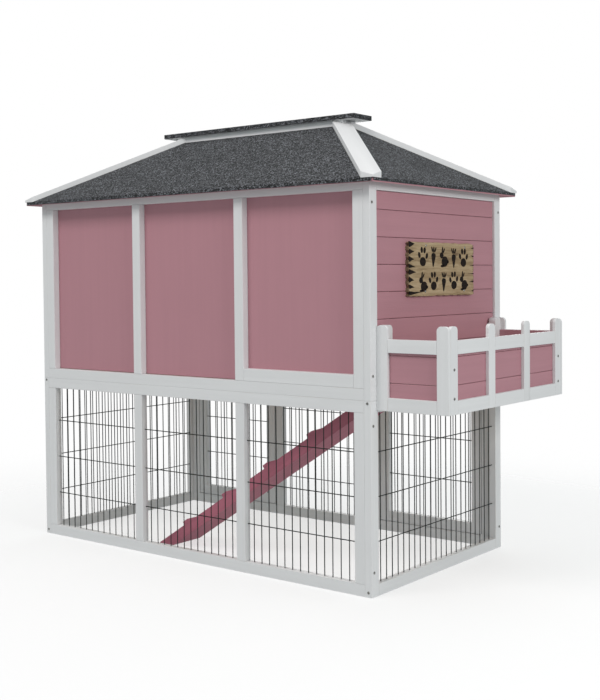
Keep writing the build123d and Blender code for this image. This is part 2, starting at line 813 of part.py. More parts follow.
def picket(plane, thickness):
    """An upright with a rounded head, centred on the plane's origin."""
    height = balcony_post_top - balcony_z[0]
    with BuildPart() as post:
        with BuildSketch(plane) as outline:
            with Locations((0, height / 2)):
                Rectangle(balcony_post_w, height)
            fillet(outline.vertices().group_by(Axis.Y)[-1], radius=balcony_post_r)
        extrude(amount=thickness)
    return post.part


side_posts_x = (balcony_x[0] + balcony_post_w / 2, balcony_x[1] - balcony_post_w / 2)
rail_inset = balcony_post_w + joint_gap
side_rail_x = (balcony_x[0] + rail_inset, balcony_x[1] - rail_inset)
rail_heights = (
    (balcony_z[0], balcony_z[0] + balcony_rail),
    (balcony_z[1] - balcony_rail, balcony_z[1]),
)

with BuildPart() as balcony_side_frames:
    for side_y in ((-balcony_half_w, -side_face_y), (side_face_y, balcony_half_w)):
        for post_x in side_posts_x:
            post_foot = (post_x, side_y[0], balcony_z[0])
            add(picket(Plane(post_foot, x_dir=(-1, 0, 0), z_dir=(0, 1, 0)), balcony_frame_t))
        for rail_z in rail_heights:
            bar(side_rail_x, side_y, rail_z)
balcony_side_frames.part.label = "balcony_side_frames"
export_step(balcony_side_frames.part, "parts/balcony_side_frames.step")

end_post_y = side_face_y - joint_gap - balcony_post_w / 2
front_posts_y = (-end_post_y, -balcony_posts_y, balcony_posts_y, end_post_y)

with BuildPart() as balcony_front_frame:
    for post_y in front_posts_y:
        post_foot = (front_frame_x[0], post_y, balcony_z[0])
        add(picket(Plane(post_foot, x_dir=(0, 1, 0), z_dir=(1, 0, 0)), balcony_frame_t))
    for near_post, far_post in zip(front_posts_y, front_posts_y[1:]):
        rail_y = (near_post + balcony_post_w / 2 + joint_gap, far_post - balcony_post_w / 2 - joint_gap)
        for rail_z in rail_heights:
            bar(front_frame_x, rail_y, rail_z)
balcony_front_frame.part.label = "balcony_front_frame"
export_step(balcony_front_frame.part, "parts/balcony_front_frame.step")

wall_post_y = side_face_y - joint_gap - balcony_post_w / 2

with BuildPart() as balcony_wall_posts:
    for post_y in (-wall_post_y, wall_post_y):
        post_foot = (balcony_x[0], post_y, balcony_z[0])
        add(picket(Plane(post_foot, x_dir=(0, 1, 0), z_dir=(1, 0, 0)), wall_post_t))
balcony_wall_posts.part.label = "balcony_wall_posts"
export_step(balcony_wall_posts.part, "parts/balcony_wall_posts.step")

balcony_joint_z = 512.5
side_boards_x = (balcony_x[0] + wall_post_t + joint_gap, front_frame_x[0] - joint_gap)
front_boards_x = (front_frame_x[0] - balcony_board_t, front_frame_x[0])
inner_side_y = side_face_y - balcony_board_t

with BuildPart() as balcony_boards:
    for board_z in board_heights(balcony_z[0] + 1, balcony_z[1], balcony_joint_z):
        bar(side_boards_x, (-side_face_y, -inner_side_y), board_z)
        bar(side_boards_x, (inner_side_y, side_face_y), board_z)
        bar(front_boards_x, (-inner_side_y + joint_gap, inner_side_y - joint_gap), board_z)
balcony_boards.part.label = "balcony_boards"
export_step(balcony_boards.part, "parts/balcony_boards.step")

balcony_floor_x = (balcony_x[0] + wall_post_t + 1, front_boards_x[0] - 1)
plank_z = (449, 459)
plank_count = 3
plank_w = (balcony_floor_x[1] - balcony_floor_x[0]) / plank_count
plank_gap = 1

with BuildPart() as balcony_floor:
    for i in range(plank_count):
        plank_x = balcony_floor_x[0] + plank_w * i
        bar((plank_x, plank_x + plank_w - plank_gap), (-inner_side_y + 1, inner_side_y - 1), plank_z)
balcony_floor.part.label = "balcony_floor"
export_step(balcony_floor.part, "parts/balcony_floor.step")

# ---------------------------------------------------------------------------
# Plaque with split ends, nailed to the end boards
# ---------------------------------------------------------------------------
plaque_t = 10
plaque_face_x = right_x - end_board_recess
plaque_z = 783
plaque_outline = [
    (-157, 68), (-60, 66), (60, 67), (163, 70), (158, 52), (164, 40), (157, 26), (163, 8), (158, -10),
    (164, -30), (160, -50), (164, -68), (40, -66), (-60, -68), (-147, -69), (-150, -54), (-144, -48),
    (-153, -30), (-146, -22), (-155, -4), (-147, 4), (-156, 24), (-148, 32), (-157, 50),
]

with BuildPart() as plaque:
    with BuildSketch(Plane((plaque_face_x, 0, plaque_z), x_dir=(0, 1, 0), z_dir=(1, 0, 0))):
        with BuildLine():
            Polyline(plaque_outline, close=True)
        make_face()
    extrude(amount=plaque_t)
plaque.part.label = "plaque"
export_step(plaque.part, "parts/plaque.step")

nail_r = 3
nail_head_t = 1.2

with BuildPart() as plaque_nails:
    with BuildSketch(Plane((plaque_face_x + plaque_t, 0, plaque_z), x_dir=(0, 1, 0), z_dir=(1, 0, 0))):
        with Locations((-76, 60), (116, 58), (-80, -56), (112, -56)):
            Circle(nail_r)
    extrude(amount=nail_head_t)
plaque_nails.part.label = "plaque_nails"
export_step(plaque_nails.part, "parts/plaque_nails.step")

# ---------------------------------------------------------------------------
# Screw heads: into the long frames through the end frames, and on the balcony
# ---------------------------------------------------------------------------
screw_r = 3.5
end_screw_z = (59, 410, 529, 942)
corner_screw_z = (11.5, 464)
balcony_screw_z = (483, 550)

with BuildPart() as frame_screws:
    for face_x, outward in ((left_x, -1), (right_x, 1)):
        with BuildSketch(Plane((face_x, 0, 0), x_dir=(0, outward, 0), z_dir=(outward, 0, 0))):
            for screw_z in end_screw_z:
                end_screw_y = rear_y - timber_t / 2
                with Locations((-end_screw_y, screw_z), (end_screw_y, screw_z)):
                    Circle(screw_r)
        extrude(amount=screw_head_t)
    for face_y, outward in ((front_y, -1), (rear_y, 1)):
        with BuildSketch(Plane((house_x, face_y, 0), x_dir=(-outward, 0, 0), z_dir=(0, outward, 0))):
            for screw_z in corner_screw_z:
                corner_screw_x = house_length / 2 - timber_t / 2
                with Locations((-corner_screw_x, screw_z), (corner_screw_x, screw_z)):
                    Circle(screw_r)
        extrude(amount=screw_head_t)
    with BuildSketch(Plane((balcony_x[1], 0, 0), x_dir=(0, 1, 0), z_dir=(1, 0, 0))):
        for screw_z in balcony_screw_z:
            with Locations((-end_post_y, screw_z), (end_post_y, screw_z)):
                Circle(screw_r)
    extrude(amount=screw_head_t)
frame_screws.part.label = "frame_screws"
export_step(frame_screws.part, "parts/frame_screws.step")
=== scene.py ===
"""Rabbit hutch: the finished look of a two-storey timber hutch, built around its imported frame."""

import json
import math
import random

import bmesh
import bpy
from bpy.props import FloatProperty, FloatVectorProperty, IntProperty, PointerProperty
from bpy.types import Operator, Panel, PropertyGroup
from mathutils import Matrix, Vector

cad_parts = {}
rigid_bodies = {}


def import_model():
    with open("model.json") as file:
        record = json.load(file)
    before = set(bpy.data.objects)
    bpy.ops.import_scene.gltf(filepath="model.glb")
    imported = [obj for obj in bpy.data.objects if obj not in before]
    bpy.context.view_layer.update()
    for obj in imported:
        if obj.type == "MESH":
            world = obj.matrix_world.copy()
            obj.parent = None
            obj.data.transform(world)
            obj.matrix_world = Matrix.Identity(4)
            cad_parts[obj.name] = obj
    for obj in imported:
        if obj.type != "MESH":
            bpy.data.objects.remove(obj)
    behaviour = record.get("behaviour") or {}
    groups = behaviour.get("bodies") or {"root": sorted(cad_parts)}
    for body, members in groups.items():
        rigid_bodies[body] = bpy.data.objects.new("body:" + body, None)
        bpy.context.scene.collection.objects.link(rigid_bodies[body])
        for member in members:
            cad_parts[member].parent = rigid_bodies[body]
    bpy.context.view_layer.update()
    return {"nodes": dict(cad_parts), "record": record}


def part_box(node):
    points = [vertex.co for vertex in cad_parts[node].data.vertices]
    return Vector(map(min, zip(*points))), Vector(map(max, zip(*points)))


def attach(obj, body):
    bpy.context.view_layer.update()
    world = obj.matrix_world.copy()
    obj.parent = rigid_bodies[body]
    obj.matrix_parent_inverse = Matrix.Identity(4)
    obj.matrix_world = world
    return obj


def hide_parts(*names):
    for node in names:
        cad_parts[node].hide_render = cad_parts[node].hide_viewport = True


bl_info = {
    "name": "Rabbit Hutch",
    "version": (1, 0, 0),
    "blender": (4, 5, 0),
    "location": "3D View > Sidebar > Hutch",
    "description": "Builds a two-storey rabbit hutch around its packed frame",
    "category": "Object",
}

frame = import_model()
SAME_POINT = 0.00001


# ---------------------------------------------------------------------------
# Where things are, read from the frame
# ---------------------------------------------------------------------------
def body_of_node(node):
    """The name of the body that a frame node belongs to."""
    bodies = frame["record"]["behaviour"]["bodies"]
    return next(body for body, members in bodies.items() if node in members)


def slot_of_node(node):
    """The record's material slot of a frame node."""
    return next(part["material_slot"] for part in frame["record"]["subparts"] if part["node"] == node)


def middle(node):
    """The centre of a frame node's box."""
    low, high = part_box(node)
    return (low + high) / 2


RIGHT_WALL_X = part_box("house_end_frames")[1].x
REAR_MESH_LOW, REAR_MESH_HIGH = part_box("run_rear_mesh")
WIRE_THICKNESS = REAR_MESH_HIGH.y - REAR_MESH_LOW.y


# ---------------------------------------------------------------------------
# Settings a user would change
# ---------------------------------------------------------------------------
class HutchTimber(PropertyGroup):
    white: FloatVectorProperty(
        name="White paint", description="Colour of the frames, hip boards and balcony rails",
        subtype="COLOR", size=3, min=0, max=1, default=(0.765, 0.768, 0.772),
    )
    pink: FloatVectorProperty(
        name="Pink paint", description="Colour of the panels, the boards and the house doors",
        subtype="COLOR", size=3, min=0, max=1, default=(0.475, 0.232, 0.268),
    )
    deep_pink: FloatVectorProperty(
        name="Ramp paint", description="Colour of the ramp and its cleats",
        subtype="COLOR", size=3, min=0, max=1, default=(0.50, 0.155, 0.215),
    )
    pine: FloatVectorProperty(
        name="Bare pine", description="Colour of the unpainted floors and bearers",
        subtype="COLOR", size=3, min=0, max=1, default=(0.60, 0.42, 0.24),
    )
    edge: FloatProperty(
        name="Eased edge", description="Width of the eased edges of the timber",
        unit="LENGTH", min=0.0002, max=0.003, default=0.001,
    )


class HutchRoof(PropertyGroup):
    felt: FloatVectorProperty(
        name="Felt", description="Middle colour of the mineral granules on the roofing felt",
        subtype="COLOR", size=3, min=0, max=1, default=(0.0255, 0.0265, 0.029),
    )
    granule: FloatProperty(
        name="Granule size", description="Size of the mineral granules on the felt",
        unit="LENGTH", min=0.0005, max=0.005, default=0.0023,
    )


class HutchWire(PropertyGroup):
    gauge: FloatProperty(
        name="Gauge", description="Thickness of the wires of the mesh",
        unit="LENGTH", min=0.001, max=0.004, default=WIRE_THICKNESS,
    )
    pitch: FloatProperty(
        name="Pitch", description="Distance between neighbouring upright wires",
        unit="LENGTH", min=0.010, max=0.050, default=0.0254,
    )
    row_pitch: FloatProperty(
        name="Row pitch", description="Distance between neighbouring cross wires",
        unit="LENGTH", min=0.020, max=0.200, default=0.1085,
    )
    colour: FloatVectorProperty(
        name="Coating", description="Colour of the coating of the wires",
        subtype="COLOR", size=3, min=0, max=1, default=(0.004, 0.008, 0.007),
    )


class HutchPlaque(PropertyGroup):
    teeth: IntProperty(
        name="Splits", description="Number of splits along each end", min=4, max=20, default=8,
    )
    depth: FloatProperty(
        name="Splinter depth", description="How far the splits reach in from the ends",
        unit="LENGTH", min=0.002, max=0.02, default=0.010,
    )
    seed: IntProperty(name="Seed", description="Picks the pattern of the splits", default=11)


# ---------------------------------------------------------------------------
# Shader maths
# ---------------------------------------------------------------------------
class Value:
    """A number in a material. Arithmetic on it adds Math nodes."""

    def __init__(self, finish, socket):
        self.finish = finish
        self.socket = socket

    def math(self, operation, *others):
        numbers = {i: value for i, value in enumerate((self, *others))}
        return self.finish.value("ShaderNodeMath", {"operation": operation}, numbers)

    def __add__(self, other):
        return self.math("ADD", other)

    __radd__ = __add__

    def __sub__(self, other):
        return self.math("SUBTRACT", other)

    def __rsub__(self, other):
        return self.finish.value("ShaderNodeMath", {"operation": "SUBTRACT"}, {0: other, 1: self})

    def __mul__(self, other):
        return self.math("MULTIPLY", other)

    __rmul__ = __mul__

    def __abs__(self):
        return self.math("ABSOLUTE")

    def larger(self, other):
        return self.math("MAXIMUM", other)

    def rise(self, low, high):
        """0 below low, 1 above high, smooth between."""
        settings = {"interpolation_type": "SMOOTHSTEP"}
        return self.finish.value("ShaderNodeMapRange", settings, {"Value": self, "From Min": low, "From Max": high})


class Finish:
    """One procedural material under construction."""

    def __init__(self, name, colour, metallic=0.0):
        self.material = bpy.data.materials.new(name)
        self.material.use_nodes = True
        self.tree = self.material.node_tree
        self.shader = self.tree.nodes["Principled BSDF"]
        self.shader.inputs["Metallic"].default_value = metallic
        self.material.diffuse_color = (*colour, 1)

    def node(self, kind, settings=None, sockets=None):
        """Adds a node: its settings first, then the values or links of its sockets."""
        node = self.tree.nodes.new(kind)
        for name, setting in (settings or {}).items():
            setattr(node, name, setting)
        for key, given in (sockets or {}).items():
            self.join(given, node.inputs[key])
        return node

    def value(self, kind, settings=None, sockets=None, out=0):
        return Value(self, self.node(kind, settings, sockets).outputs[out])

    def join(self, given, socket):
        if isinstance(given, Value):
            self.tree.links.new(given.socket, socket)
        elif isinstance(given, tuple) and socket.type == "RGBA" and len(given) == 3:
            socket.default_value = (*given, 1)
        else:
            socket.default_value = given

    def attribute(self, name, out="Vector"):
        return self.value("ShaderNodeAttribute", {"attribute_name": name}, out=out)

    def place(self):
        """The point on the surface, in the frame."""
        return self.value("ShaderNodeTexCoord", out="Object")

    def scaled(self, vector, factors):
        return self.value("ShaderNodeVectorMath", {"operation": "MULTIPLY"}, {0: vector, 1: factors})

    def moved(self, vector, offset):
        return self.value("ShaderNodeVectorMath", {"operation": "ADD"}, {0: vector, 1: offset})

    def axes(self, vector):
        split = self.node("ShaderNodeSeparateXYZ", None, {0: vector})
        return [Value(self, output) for output in split.outputs]

    def sized(self, vector, scale):
        """The vector and scale of a pattern, whose scale may differ along the axes."""
        return (self.scaled(vector, scale), 1.0) if isinstance(scale, tuple) else (vector, scale)

    def noise(self, vector, scale, detail=2.0, rough=0.5):
        vector, scale = self.sized(vector, scale)
        sockets = {"Vector": vector, "Scale": scale, "Detail": detail, "Roughness": rough}
        return self.value("ShaderNodeTexNoise", None, sockets)

    def cells(self, vector, scale, out="Distance"):
        vector, scale = self.sized(vector, scale)
        return self.value("ShaderNodeTexVoronoi", None, {"Vector": vector, "Scale": scale}, out=out)

    def ramp(self, factor, stops):
        """A colour ramp from (place, colour) stops."""
        node = self.node("ShaderNodeValToRGB", None, {"Fac": factor})
        elements = node.color_ramp.elements
        while len(elements) < len(stops):
            elements.new(0.5)
        for element, (place, colour) in zip(elements, stops):
            element.position = place
            element.color = (*colour, 1)
        return Value(self, node.outputs["Color"])

    def mix(self, factor, first, second):
        """first where factor is 0, second where it is 1."""
        node = self.node("ShaderNodeMix", {"data_type": "RGBA"})
        self.join(factor, node.inputs[0])
        self.join(first, node.inputs[6])
        self.join(second, node.inputs[7])
        return Value(self, node.outputs[2])

    def bump(self, height, distance):
        sockets = {"Height": height, "Distance": distance, "Strength": 1.0}
        self.tree.links.new(self.node("ShaderNodeBump", None, sockets).outputs[0], self.shader.inputs["Normal"])

    def finish(self, colour, roughness):
        self.join(colour, self.shader.inputs["Base Color"])
        self.join(roughness, self.shader.inputs["Roughness"])
        return self.material


def shade(colour, factor):
    return tuple(min(1.0, channel * factor) for channel in colour)


# ---------------------------------------------------------------------------
# Materials
# ---------------------------------------------------------------------------
def board_field(finish):
    """What a board's own measures say: its noise space, the distance to its nearest edge, and its lot."""
    grain = finish.attribute("grain")
    half = finish.attribute("half")
    lot = finish.attribute("lot", "Fac")
    from_side = [b - abs(a) for a, b in zip(finish.axes(grain), finish.axes(half))]
    to_edge = from_side[0] + from_side[1] + from_side[2]
    to_edge = to_edge - from_side[0].larger(from_side[1]).larger(from_side[2])
    shift = finish.value("ShaderNodeCombineXYZ", None, {0: lot * 7.0, 1: lot * 13.0, 2: lot * 5.0})
    return finish.moved(grain, shift), to_edge, from_side[0], lot


def painted_timber(name, colour, worn, depth, tone=0.07, bare=(0.52, 0.38, 0.24), gloss=0.46):
    """Brushed paint over sawn softwood, thin on the edges and drawn in on the end grain."""
    finish = Finish(name, colour)
    space, to_edge, to_end, lot = board_field(finish)
    fibre = finish.noise(space, (9.0, 420.0, 420.0), 5.0, 0.62)
    rings = finish.noise(space, (2.2, 62.0, 62.0), 3.0, 0.55)
    brush = finish.noise(space, (26.0, 900.0, 900.0), 2.0)
    cloud = finish.noise(space, 7.0, 3.0)
    knots = finish.cells(space, (3.2, 13.0, 13.0))
    knot = 1.0 - knots.rise(0.05, 0.15)
    light, dark = shade(colour, 1.0 + tone * 0.5), shade(colour, 1.0 - tone)
    body = finish.mix(rings.rise(0.32, 0.70) * 0.55 + lot * 0.45, light, dark)
    body = finish.mix(cloud.rise(0.45, 0.75) * 0.35, body, shade(colour, 1.0 - 1.6 * tone))
    body = finish.mix(knot * 0.30, body, shade(colour, 1.0 - 2.6 * tone))
    rubbed = (1.0 - to_edge.rise(0.0002, 0.0014)) * fibre.rise(0.50, 0.66)
    body = finish.mix(rubbed * worn, body, bare)
    body = finish.mix((1.0 - to_end.rise(0.0, 0.0006)) * 0.35, body, shade(colour, 0.84))
    relief = fibre * 0.5 + rings * 0.35 + brush * 0.15 - knot * 0.2
    finish.bump(relief, depth)
    return finish.finish(body, gloss + fibre * 0.14 + rubbed * 0.2)


def bare_timber(name, colour):
    """Planed unpainted softwood with growth rings and knots."""
    finish = Finish(name, colour)
    space, to_edge, to_end, lot = board_field(finish)
    warp = finish.noise(space, (3.0, 16.0, 16.0), 2.0)
    rings = finish.value(
        "ShaderNodeTexWave", {"wave_type": "BANDS", "bands_direction": "Y"},
        {"Vector": finish.scaled(space, (1.2, 30.0, 30.0)), "Scale": 1.0, "Distortion": 7.0,
         "Detail": 3.0, "Detail Scale": 1.2},
    )
    fibre = finish.noise(space, (12.0, 600.0, 600.0), 4.0)
    knot = 1.0 - finish.cells(space, (4.0, 16.0, 16.0)).rise(0.04, 0.14)
    body = finish.ramp(rings * 0.75 + warp * 0.3, [
        (0.15, shade(colour, 1.12)), (0.55, colour), (0.92, shade(colour, 0.70)),
    ])
    body = finish.mix(lot * 0.25, body, shade(colour, 0.8))
    body = finish.mix(knot * 0.8, body, shade(colour, 0.32))
    body = finish.mix((1.0 - to_end.rise(0.0, 0.0008)) * 0.4, body, shade(colour, 0.6))
    finish.bump(fibre * 0.6 + rings * 0.4, 0.0005)
    return finish.finish(body, 0.62 + fibre * 0.15 + to_edge.rise(0.0, 0.001) * 0.02)


def granulated_felt(name, colour, granule):
    """Bitumen felt with light and dark mineral granules pressed into its face."""
    finish = Finish(name, colour)
    place = finish.place()
    grains = finish.cells(place, 1.0 / granule, "Color")
    red, green, _ = finish.axes(grains)
    dome = finish.cells(place, 1.0 / granule)
    coarse = finish.noise(place, 240.0, 2.0, 0.6)
    patches = finish.noise(place, 9.0, 4.0, 0.6)
    pick = red * 0.92 + coarse.rise(0.30, 0.70) * 0.08
    body = finish.ramp(pick, [
        (0.14, shade(colour, 0.15)), (0.38, shade(colour, 0.45)), (0.56, colour),
        (0.70, shade(colour, 2.6)), (0.90, shade(colour, 9.0)),
    ])
    body = finish.mix(patches.rise(0.40, 0.72) * 0.30, body, shade(colour, 0.45))
    bald = finish.noise(place, 60.0, 3.0).rise(0.66, 0.74)
    body = finish.mix(bald * 0.6, body, (0.012, 0.012, 0.013))
    finish.bump((1.0 - dome) * 0.7 + coarse * 0.5, 0.0011)
    return finish.finish(body, 0.80 + green * 0.16)


def coated_wire(name, colour):
    """Dark coating on round wire, uneven along its length and chalky in places."""
    finish = Finish(name, colour)
    place = finish.place()
    chalk = finish.noise(place, 28.0, 4.0, 0.6).rise(0.45, 0.78)
    runs = finish.noise(place, (260.0, 260.0, 40.0), 3.0)
    body = finish.mix(chalk * 0.4, colour, shade(colour, 2.0))
    finish.bump(runs, 0.0003)
    finish.shader.inputs["Specular IOR Level"].default_value = 0.35
    return finish.finish(body, 0.42 + chalk * 0.25)


def plated_steel(name, colour, dulled):
    """Zinc-plated pressed steel with brushed streaks and dull spots."""
    finish = Finish(name, colour, metallic=0.9)
    place = finish.place()
    streaks = finish.noise(place, (90.0, 90.0, 900.0), 3.0)
    spots = finish.noise(place, 130.0, 4.0, 0.65).rise(0.52, 0.72)
    body = finish.mix(streaks * 0.4, colour, shade(colour, 0.72))
    body = finish.mix(spots * dulled, body, shade(colour, 0.35))
    finish.bump(streaks * 0.6 + spots * 0.4, 0.00012)
    return finish.finish(body, 0.32 + streaks * 0.14 + spots * 0.22)


def moulded_plastic(name, colour):
    """Fine-textured moulded plastic with faint scuffs."""
    finish = Finish(name, colour)
    place = finish.place()
    pebble = finish.noise(place, 900.0, 2.0)
    scuffs = finish.noise(place, (14.0, 240.0, 60.0), 4.0).rise(0.60, 0.72)
    body = finish.mix(scuffs * 0.3, colour, shade(colour, 2.2))
    finish.bump(pebble, 0.0002)
    return finish.finish(body, 0.48 + pebble * 0.12 + scuffs * 0.15)


def weathered_plank(name):
    """Old tan plank: ridged grain, knots, and ends scorched dark."""
    finish = Finish(name, (0.40, 0.30, 0.16))
    grain = finish.attribute("grain")
    warp = finish.noise(grain, (9.0, 9.0, 30.0), 3.0)
    shift = finish.value("ShaderNodeCombineXYZ", None, {0: 0.0, 1: warp * 0.03, 2: warp * 0.02})
    bent = finish.moved(grain, shift)
    lines = finish.noise(bent, (7.0, 210.0, 210.0), 5.0, 0.6)
    broad = finish.noise(bent, (3.5, 46.0, 46.0), 3.0)
    knot = 1.0 - finish.cells(bent, (9.0, 22.0, 22.0)).rise(0.05, 0.19)
    body = finish.ramp(lines * 0.6 + broad * 0.4, [
        (0.30, (0.13, 0.080, 0.040)), (0.45, (0.32, 0.225, 0.120)),
        (0.58, (0.44, 0.330, 0.195)), (0.74, (0.56, 0.440, 0.285)),
    ])
    body = finish.mix(knot * 0.75, body, (0.115, 0.068, 0.032))
    along, across, _ = finish.axes(grain)
    ragged = finish.noise(grain, (36.0, 90.0, 90.0), 4.0)
    left_burn = 1.0 - (along + 0.1605 + ragged * -0.006).rise(-0.003, 0.002)
    right_burn = (along - 0.158 + ragged * 0.014).rise(0.004, 0.010)
    long_edge = (abs(across) + ragged * 0.010).rise(0.0705, 0.0755)
    scorch = (left_burn * 0.45).larger(right_burn * 0.6).larger(long_edge * 0.55)
    body = finish.mix(scorch, body, (0.020, 0.026, 0.016))
    finish.bump(lines * 0.7 + broad * 0.4 - knot * 0.3, 0.0016)
    return finish.finish(body, 0.68 + lines * 0.2)


def burnt_wood(name):
    """Charred wood of the branded marks, browner towards thin spots."""
    finish = Finish(name, (0.03, 0.018, 0.012))
    place = finish.place()
    char = finish.noise(place, (300.0, 60.0, 420.0), 4.0)
    body = finish.ramp(char, [
        (0.38, (0.006, 0.005, 0.004)), (0.64, (0.022, 0.013, 0.010)), (0.84, (0.09, 0.048, 0.028)),
    ])
    finish.bump(char, 0.0005)
    finish.shader.inputs["Specular IOR Level"].default_value = 0.2
    return finish.finish(body, 0.80 + char * 0.15)


def studio_floor(name):
    """Pale floor that runs out into the pale surroundings."""
    finish = Finish(name, (0.95, 0.95, 0.95))
    place = finish.place()
    cloud = finish.noise(place, 1.3, 2.0)
    away = finish.value("ShaderNodeVectorMath", {"operation": "LENGTH"}, {0: place}, out=1)
    body = finish.mix(cloud * 0.4, (0.965, 0.965, 0.965), (0.955, 0.957, 0.96))
    finish.join((1.0 - away.rise(FLOOR_FADE[0], FLOOR_FADE[1])) * FLOOR_COVER, finish.shader.inputs["Alpha"])
    return finish.finish(body, 0.82 + cloud * 0.06)


MATERIALS = {}
FLOOR_FADE = (0.9, 2.2)
FLOOR_COVER = 0.35


def make_materials(scene):
    timber, roof, wire = scene.hutch_timber, scene.hutch_roof, scene.hutch_wire
    MATERIALS.update(
        white_paint=painted_timber("white_painted_timber", tuple(timber.white), 0.30, 0.0005, tone=0.045),
        pink_paint=painted_timber("pink_painted_boards", tuple(timber.pink), 0.12, 0.0006, tone=0.06, gloss=0.50),
        pink_ply=painted_timber("pink_painted_plywood", tuple(timber.pink), 0.10, 0.0003, tone=0.03, gloss=0.50),
        ramp_paint=painted_timber("ramp_paint", tuple(timber.deep_pink), 0.20, 0.0008, tone=0.14, gloss=0.50),
        bare_pine=bare_timber("bare_pine", tuple(timber.pine)),
        mineral_felt=granulated_felt("mineral_felt", tuple(roof.felt), roof.granule),
        coated_wire=coated_wire("coated_wire", tuple(wire.colour)),
        zinc_plate=plated_steel("zinc_plate", (0.60, 0.61, 0.62), 0.35),
        screw_steel=plated_steel("screw_steel", (0.36, 0.35, 0.33), 0.55),
        tray_plastic=moulded_plastic("tray_plastic", (0.050, 0.056, 0.062)),
        driftwood=weathered_plank("weathered_plank"),
        burnt=burnt_wood("burnt_marks"),
        floor=studio_floor("studio_floor"),
    )


# ---------------------------------------------------------------------------
# Meshes
# ---------------------------------------------------------------------------
def islands(mesh):
    """Groups of vertices that are joined by edges."""
    neighbours = [[] for _ in mesh.vertices]
    for edge in mesh.edges:
        a, b = edge.vertices
        neighbours[a].append(b)
        neighbours[b].append(a)
    seen = [False] * len(neighbours)
    for start in range(len(neighbours)):
        if seen[start]:
            continue
        seen[start] = True
        group, waiting = [], [start]
        while waiting:
            point = waiting.pop()
            group.append(point)
            for other in neighbours[point]:
                if not seen[other]:
                    seen[other] = True
                    waiting.append(other)
        yield group


def span(points):
    """The lowest and highest corners of some points."""
    return tuple(Vector([pick(p[k] for p in points) for k in range(3)]) for pick in (min, max))


def mark_grain(mesh, rng, along=None):
    """Stores each board's own axes, half sizes and lot, with the grain along its longest edge."""
    for name, kind in (("grain", "FLOAT_VECTOR"), ("half", "FLOAT_VECTOR"), ("lot", "FLOAT")):
        mesh.attributes.new(name, kind, "POINT")
    grain, half, lot = (mesh.attributes[name] for name in ("grain", "half", "lot"))
    longest = {}
    group_of = {}
    groups = list(islands(mesh))
    for i, group in enumerate(groups):
        for point in group:
            group_of[point] = i
    for edge in mesh.edges:
        a, b = (mesh.vertices[v].co for v in edge.vertices)
        i = group_of[edge.vertices[0]]
        if i not in longest or (b - a).length > longest[i].length:
            longest[i] = b - a
    for i, group in enumerate(groups):
        x_axis = (along or longest[i]).normalized()
        upright = Vector((0, 0, 1)) if abs(x_axis.z) < 0.8 else Vector((0, 1, 0))
        y_axis = upright.cross(x_axis).normalized()
        z_axis = x_axis.cross(y_axis)
        turned = [Vector([mesh.vertices[p].co.dot(axis) for axis in (x_axis, y_axis, z_axis)]) for p in group]
        low, high = span(turned)
        share = rng.random()
        for point, t in zip(group, turned):
            grain.data[point].vector = t - (low + high) / 2
            half.data[point].vector = (high - low) / 2
            lot.data[point].value = share


def closed(bm, name):
    """A finished bmesh as a mesh."""
    mesh = bpy.data.meshes.new(name)
    bm.to_mesh(mesh)
    bm.free()
    return mesh


def linked(name, data):
    """A new object in the scene."""
    obj = bpy.data.objects.new(name, data)
    bpy.context.scene.collection.objects.link(obj)
    return obj


def piece(name, mesh, body, material, slot, replaced=()):
    """A finished mesh as a piece of the hutch that rides on one body."""
    obj = linked(name, mesh)
    mesh.materials.clear()
    mesh.materials.append(material)
    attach(obj, body)
    if replaced:
        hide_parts(*replaced)


def merged(node):
    """A copy of a frame node's mesh, with its loose triangles joined."""
    bm = bmesh.new()
    bm.from_mesh(frame["nodes"][node].data)
    bmesh.ops.remove_doubles(bm, verts=bm.verts, dist=SAME_POINT)
    return bm


def eased_copy(node, edge, segments=2, sharp=30.0):
    """A copy of a frame node's mesh with its sharp edges eased."""
    bm = merged(node)
    bmesh.ops.dissolve_limit(
        bm, angle_limit=math.radians(0.5), use_dissolve_boundaries=False, verts=bm.verts, edges=bm.edges,
    )
    corners = [e for e in bm.edges if len(e.link_faces) == 2 and e.calc_face_angle() > math.radians(sharp)]
    bmesh.ops.bevel(
        bm, geom=corners, offset=edge, segments=segments, profile=0.5, affect="EDGES", clamp_overlap=True,
    )
    return closed(bm, node)


def timber_pieces(nodes, prefix, edge, material_name, along=None):
    """Eased, grained copies of timber nodes, each on its node's own body."""
    for node in nodes:
        mesh = eased_copy(node, edge)
        mark_grain(mesh, random.Random(node), along)
        material = MATERIALS[material_name]
        piece(f"{prefix}_{node}", mesh, body_of_node(node), material, slot_of_node(node), [node])


def nodes_in_slot(slot, besides=()):
    found = [part["node"] for part in frame["record"]["subparts"] if part["material_slot"] == slot]
    return [node for node in sorted(found) if node not in besides]


def plain_mesh(obj):
    """The evaluated mesh of an object with a node tree, which is then removed."""
    evaluated = obj.evaluated_get(bpy.context.evaluated_depsgraph_get())
    mesh = bpy.data.meshes.new_from_object(evaluated)
    bpy.data.objects.remove(obj)
    return mesh


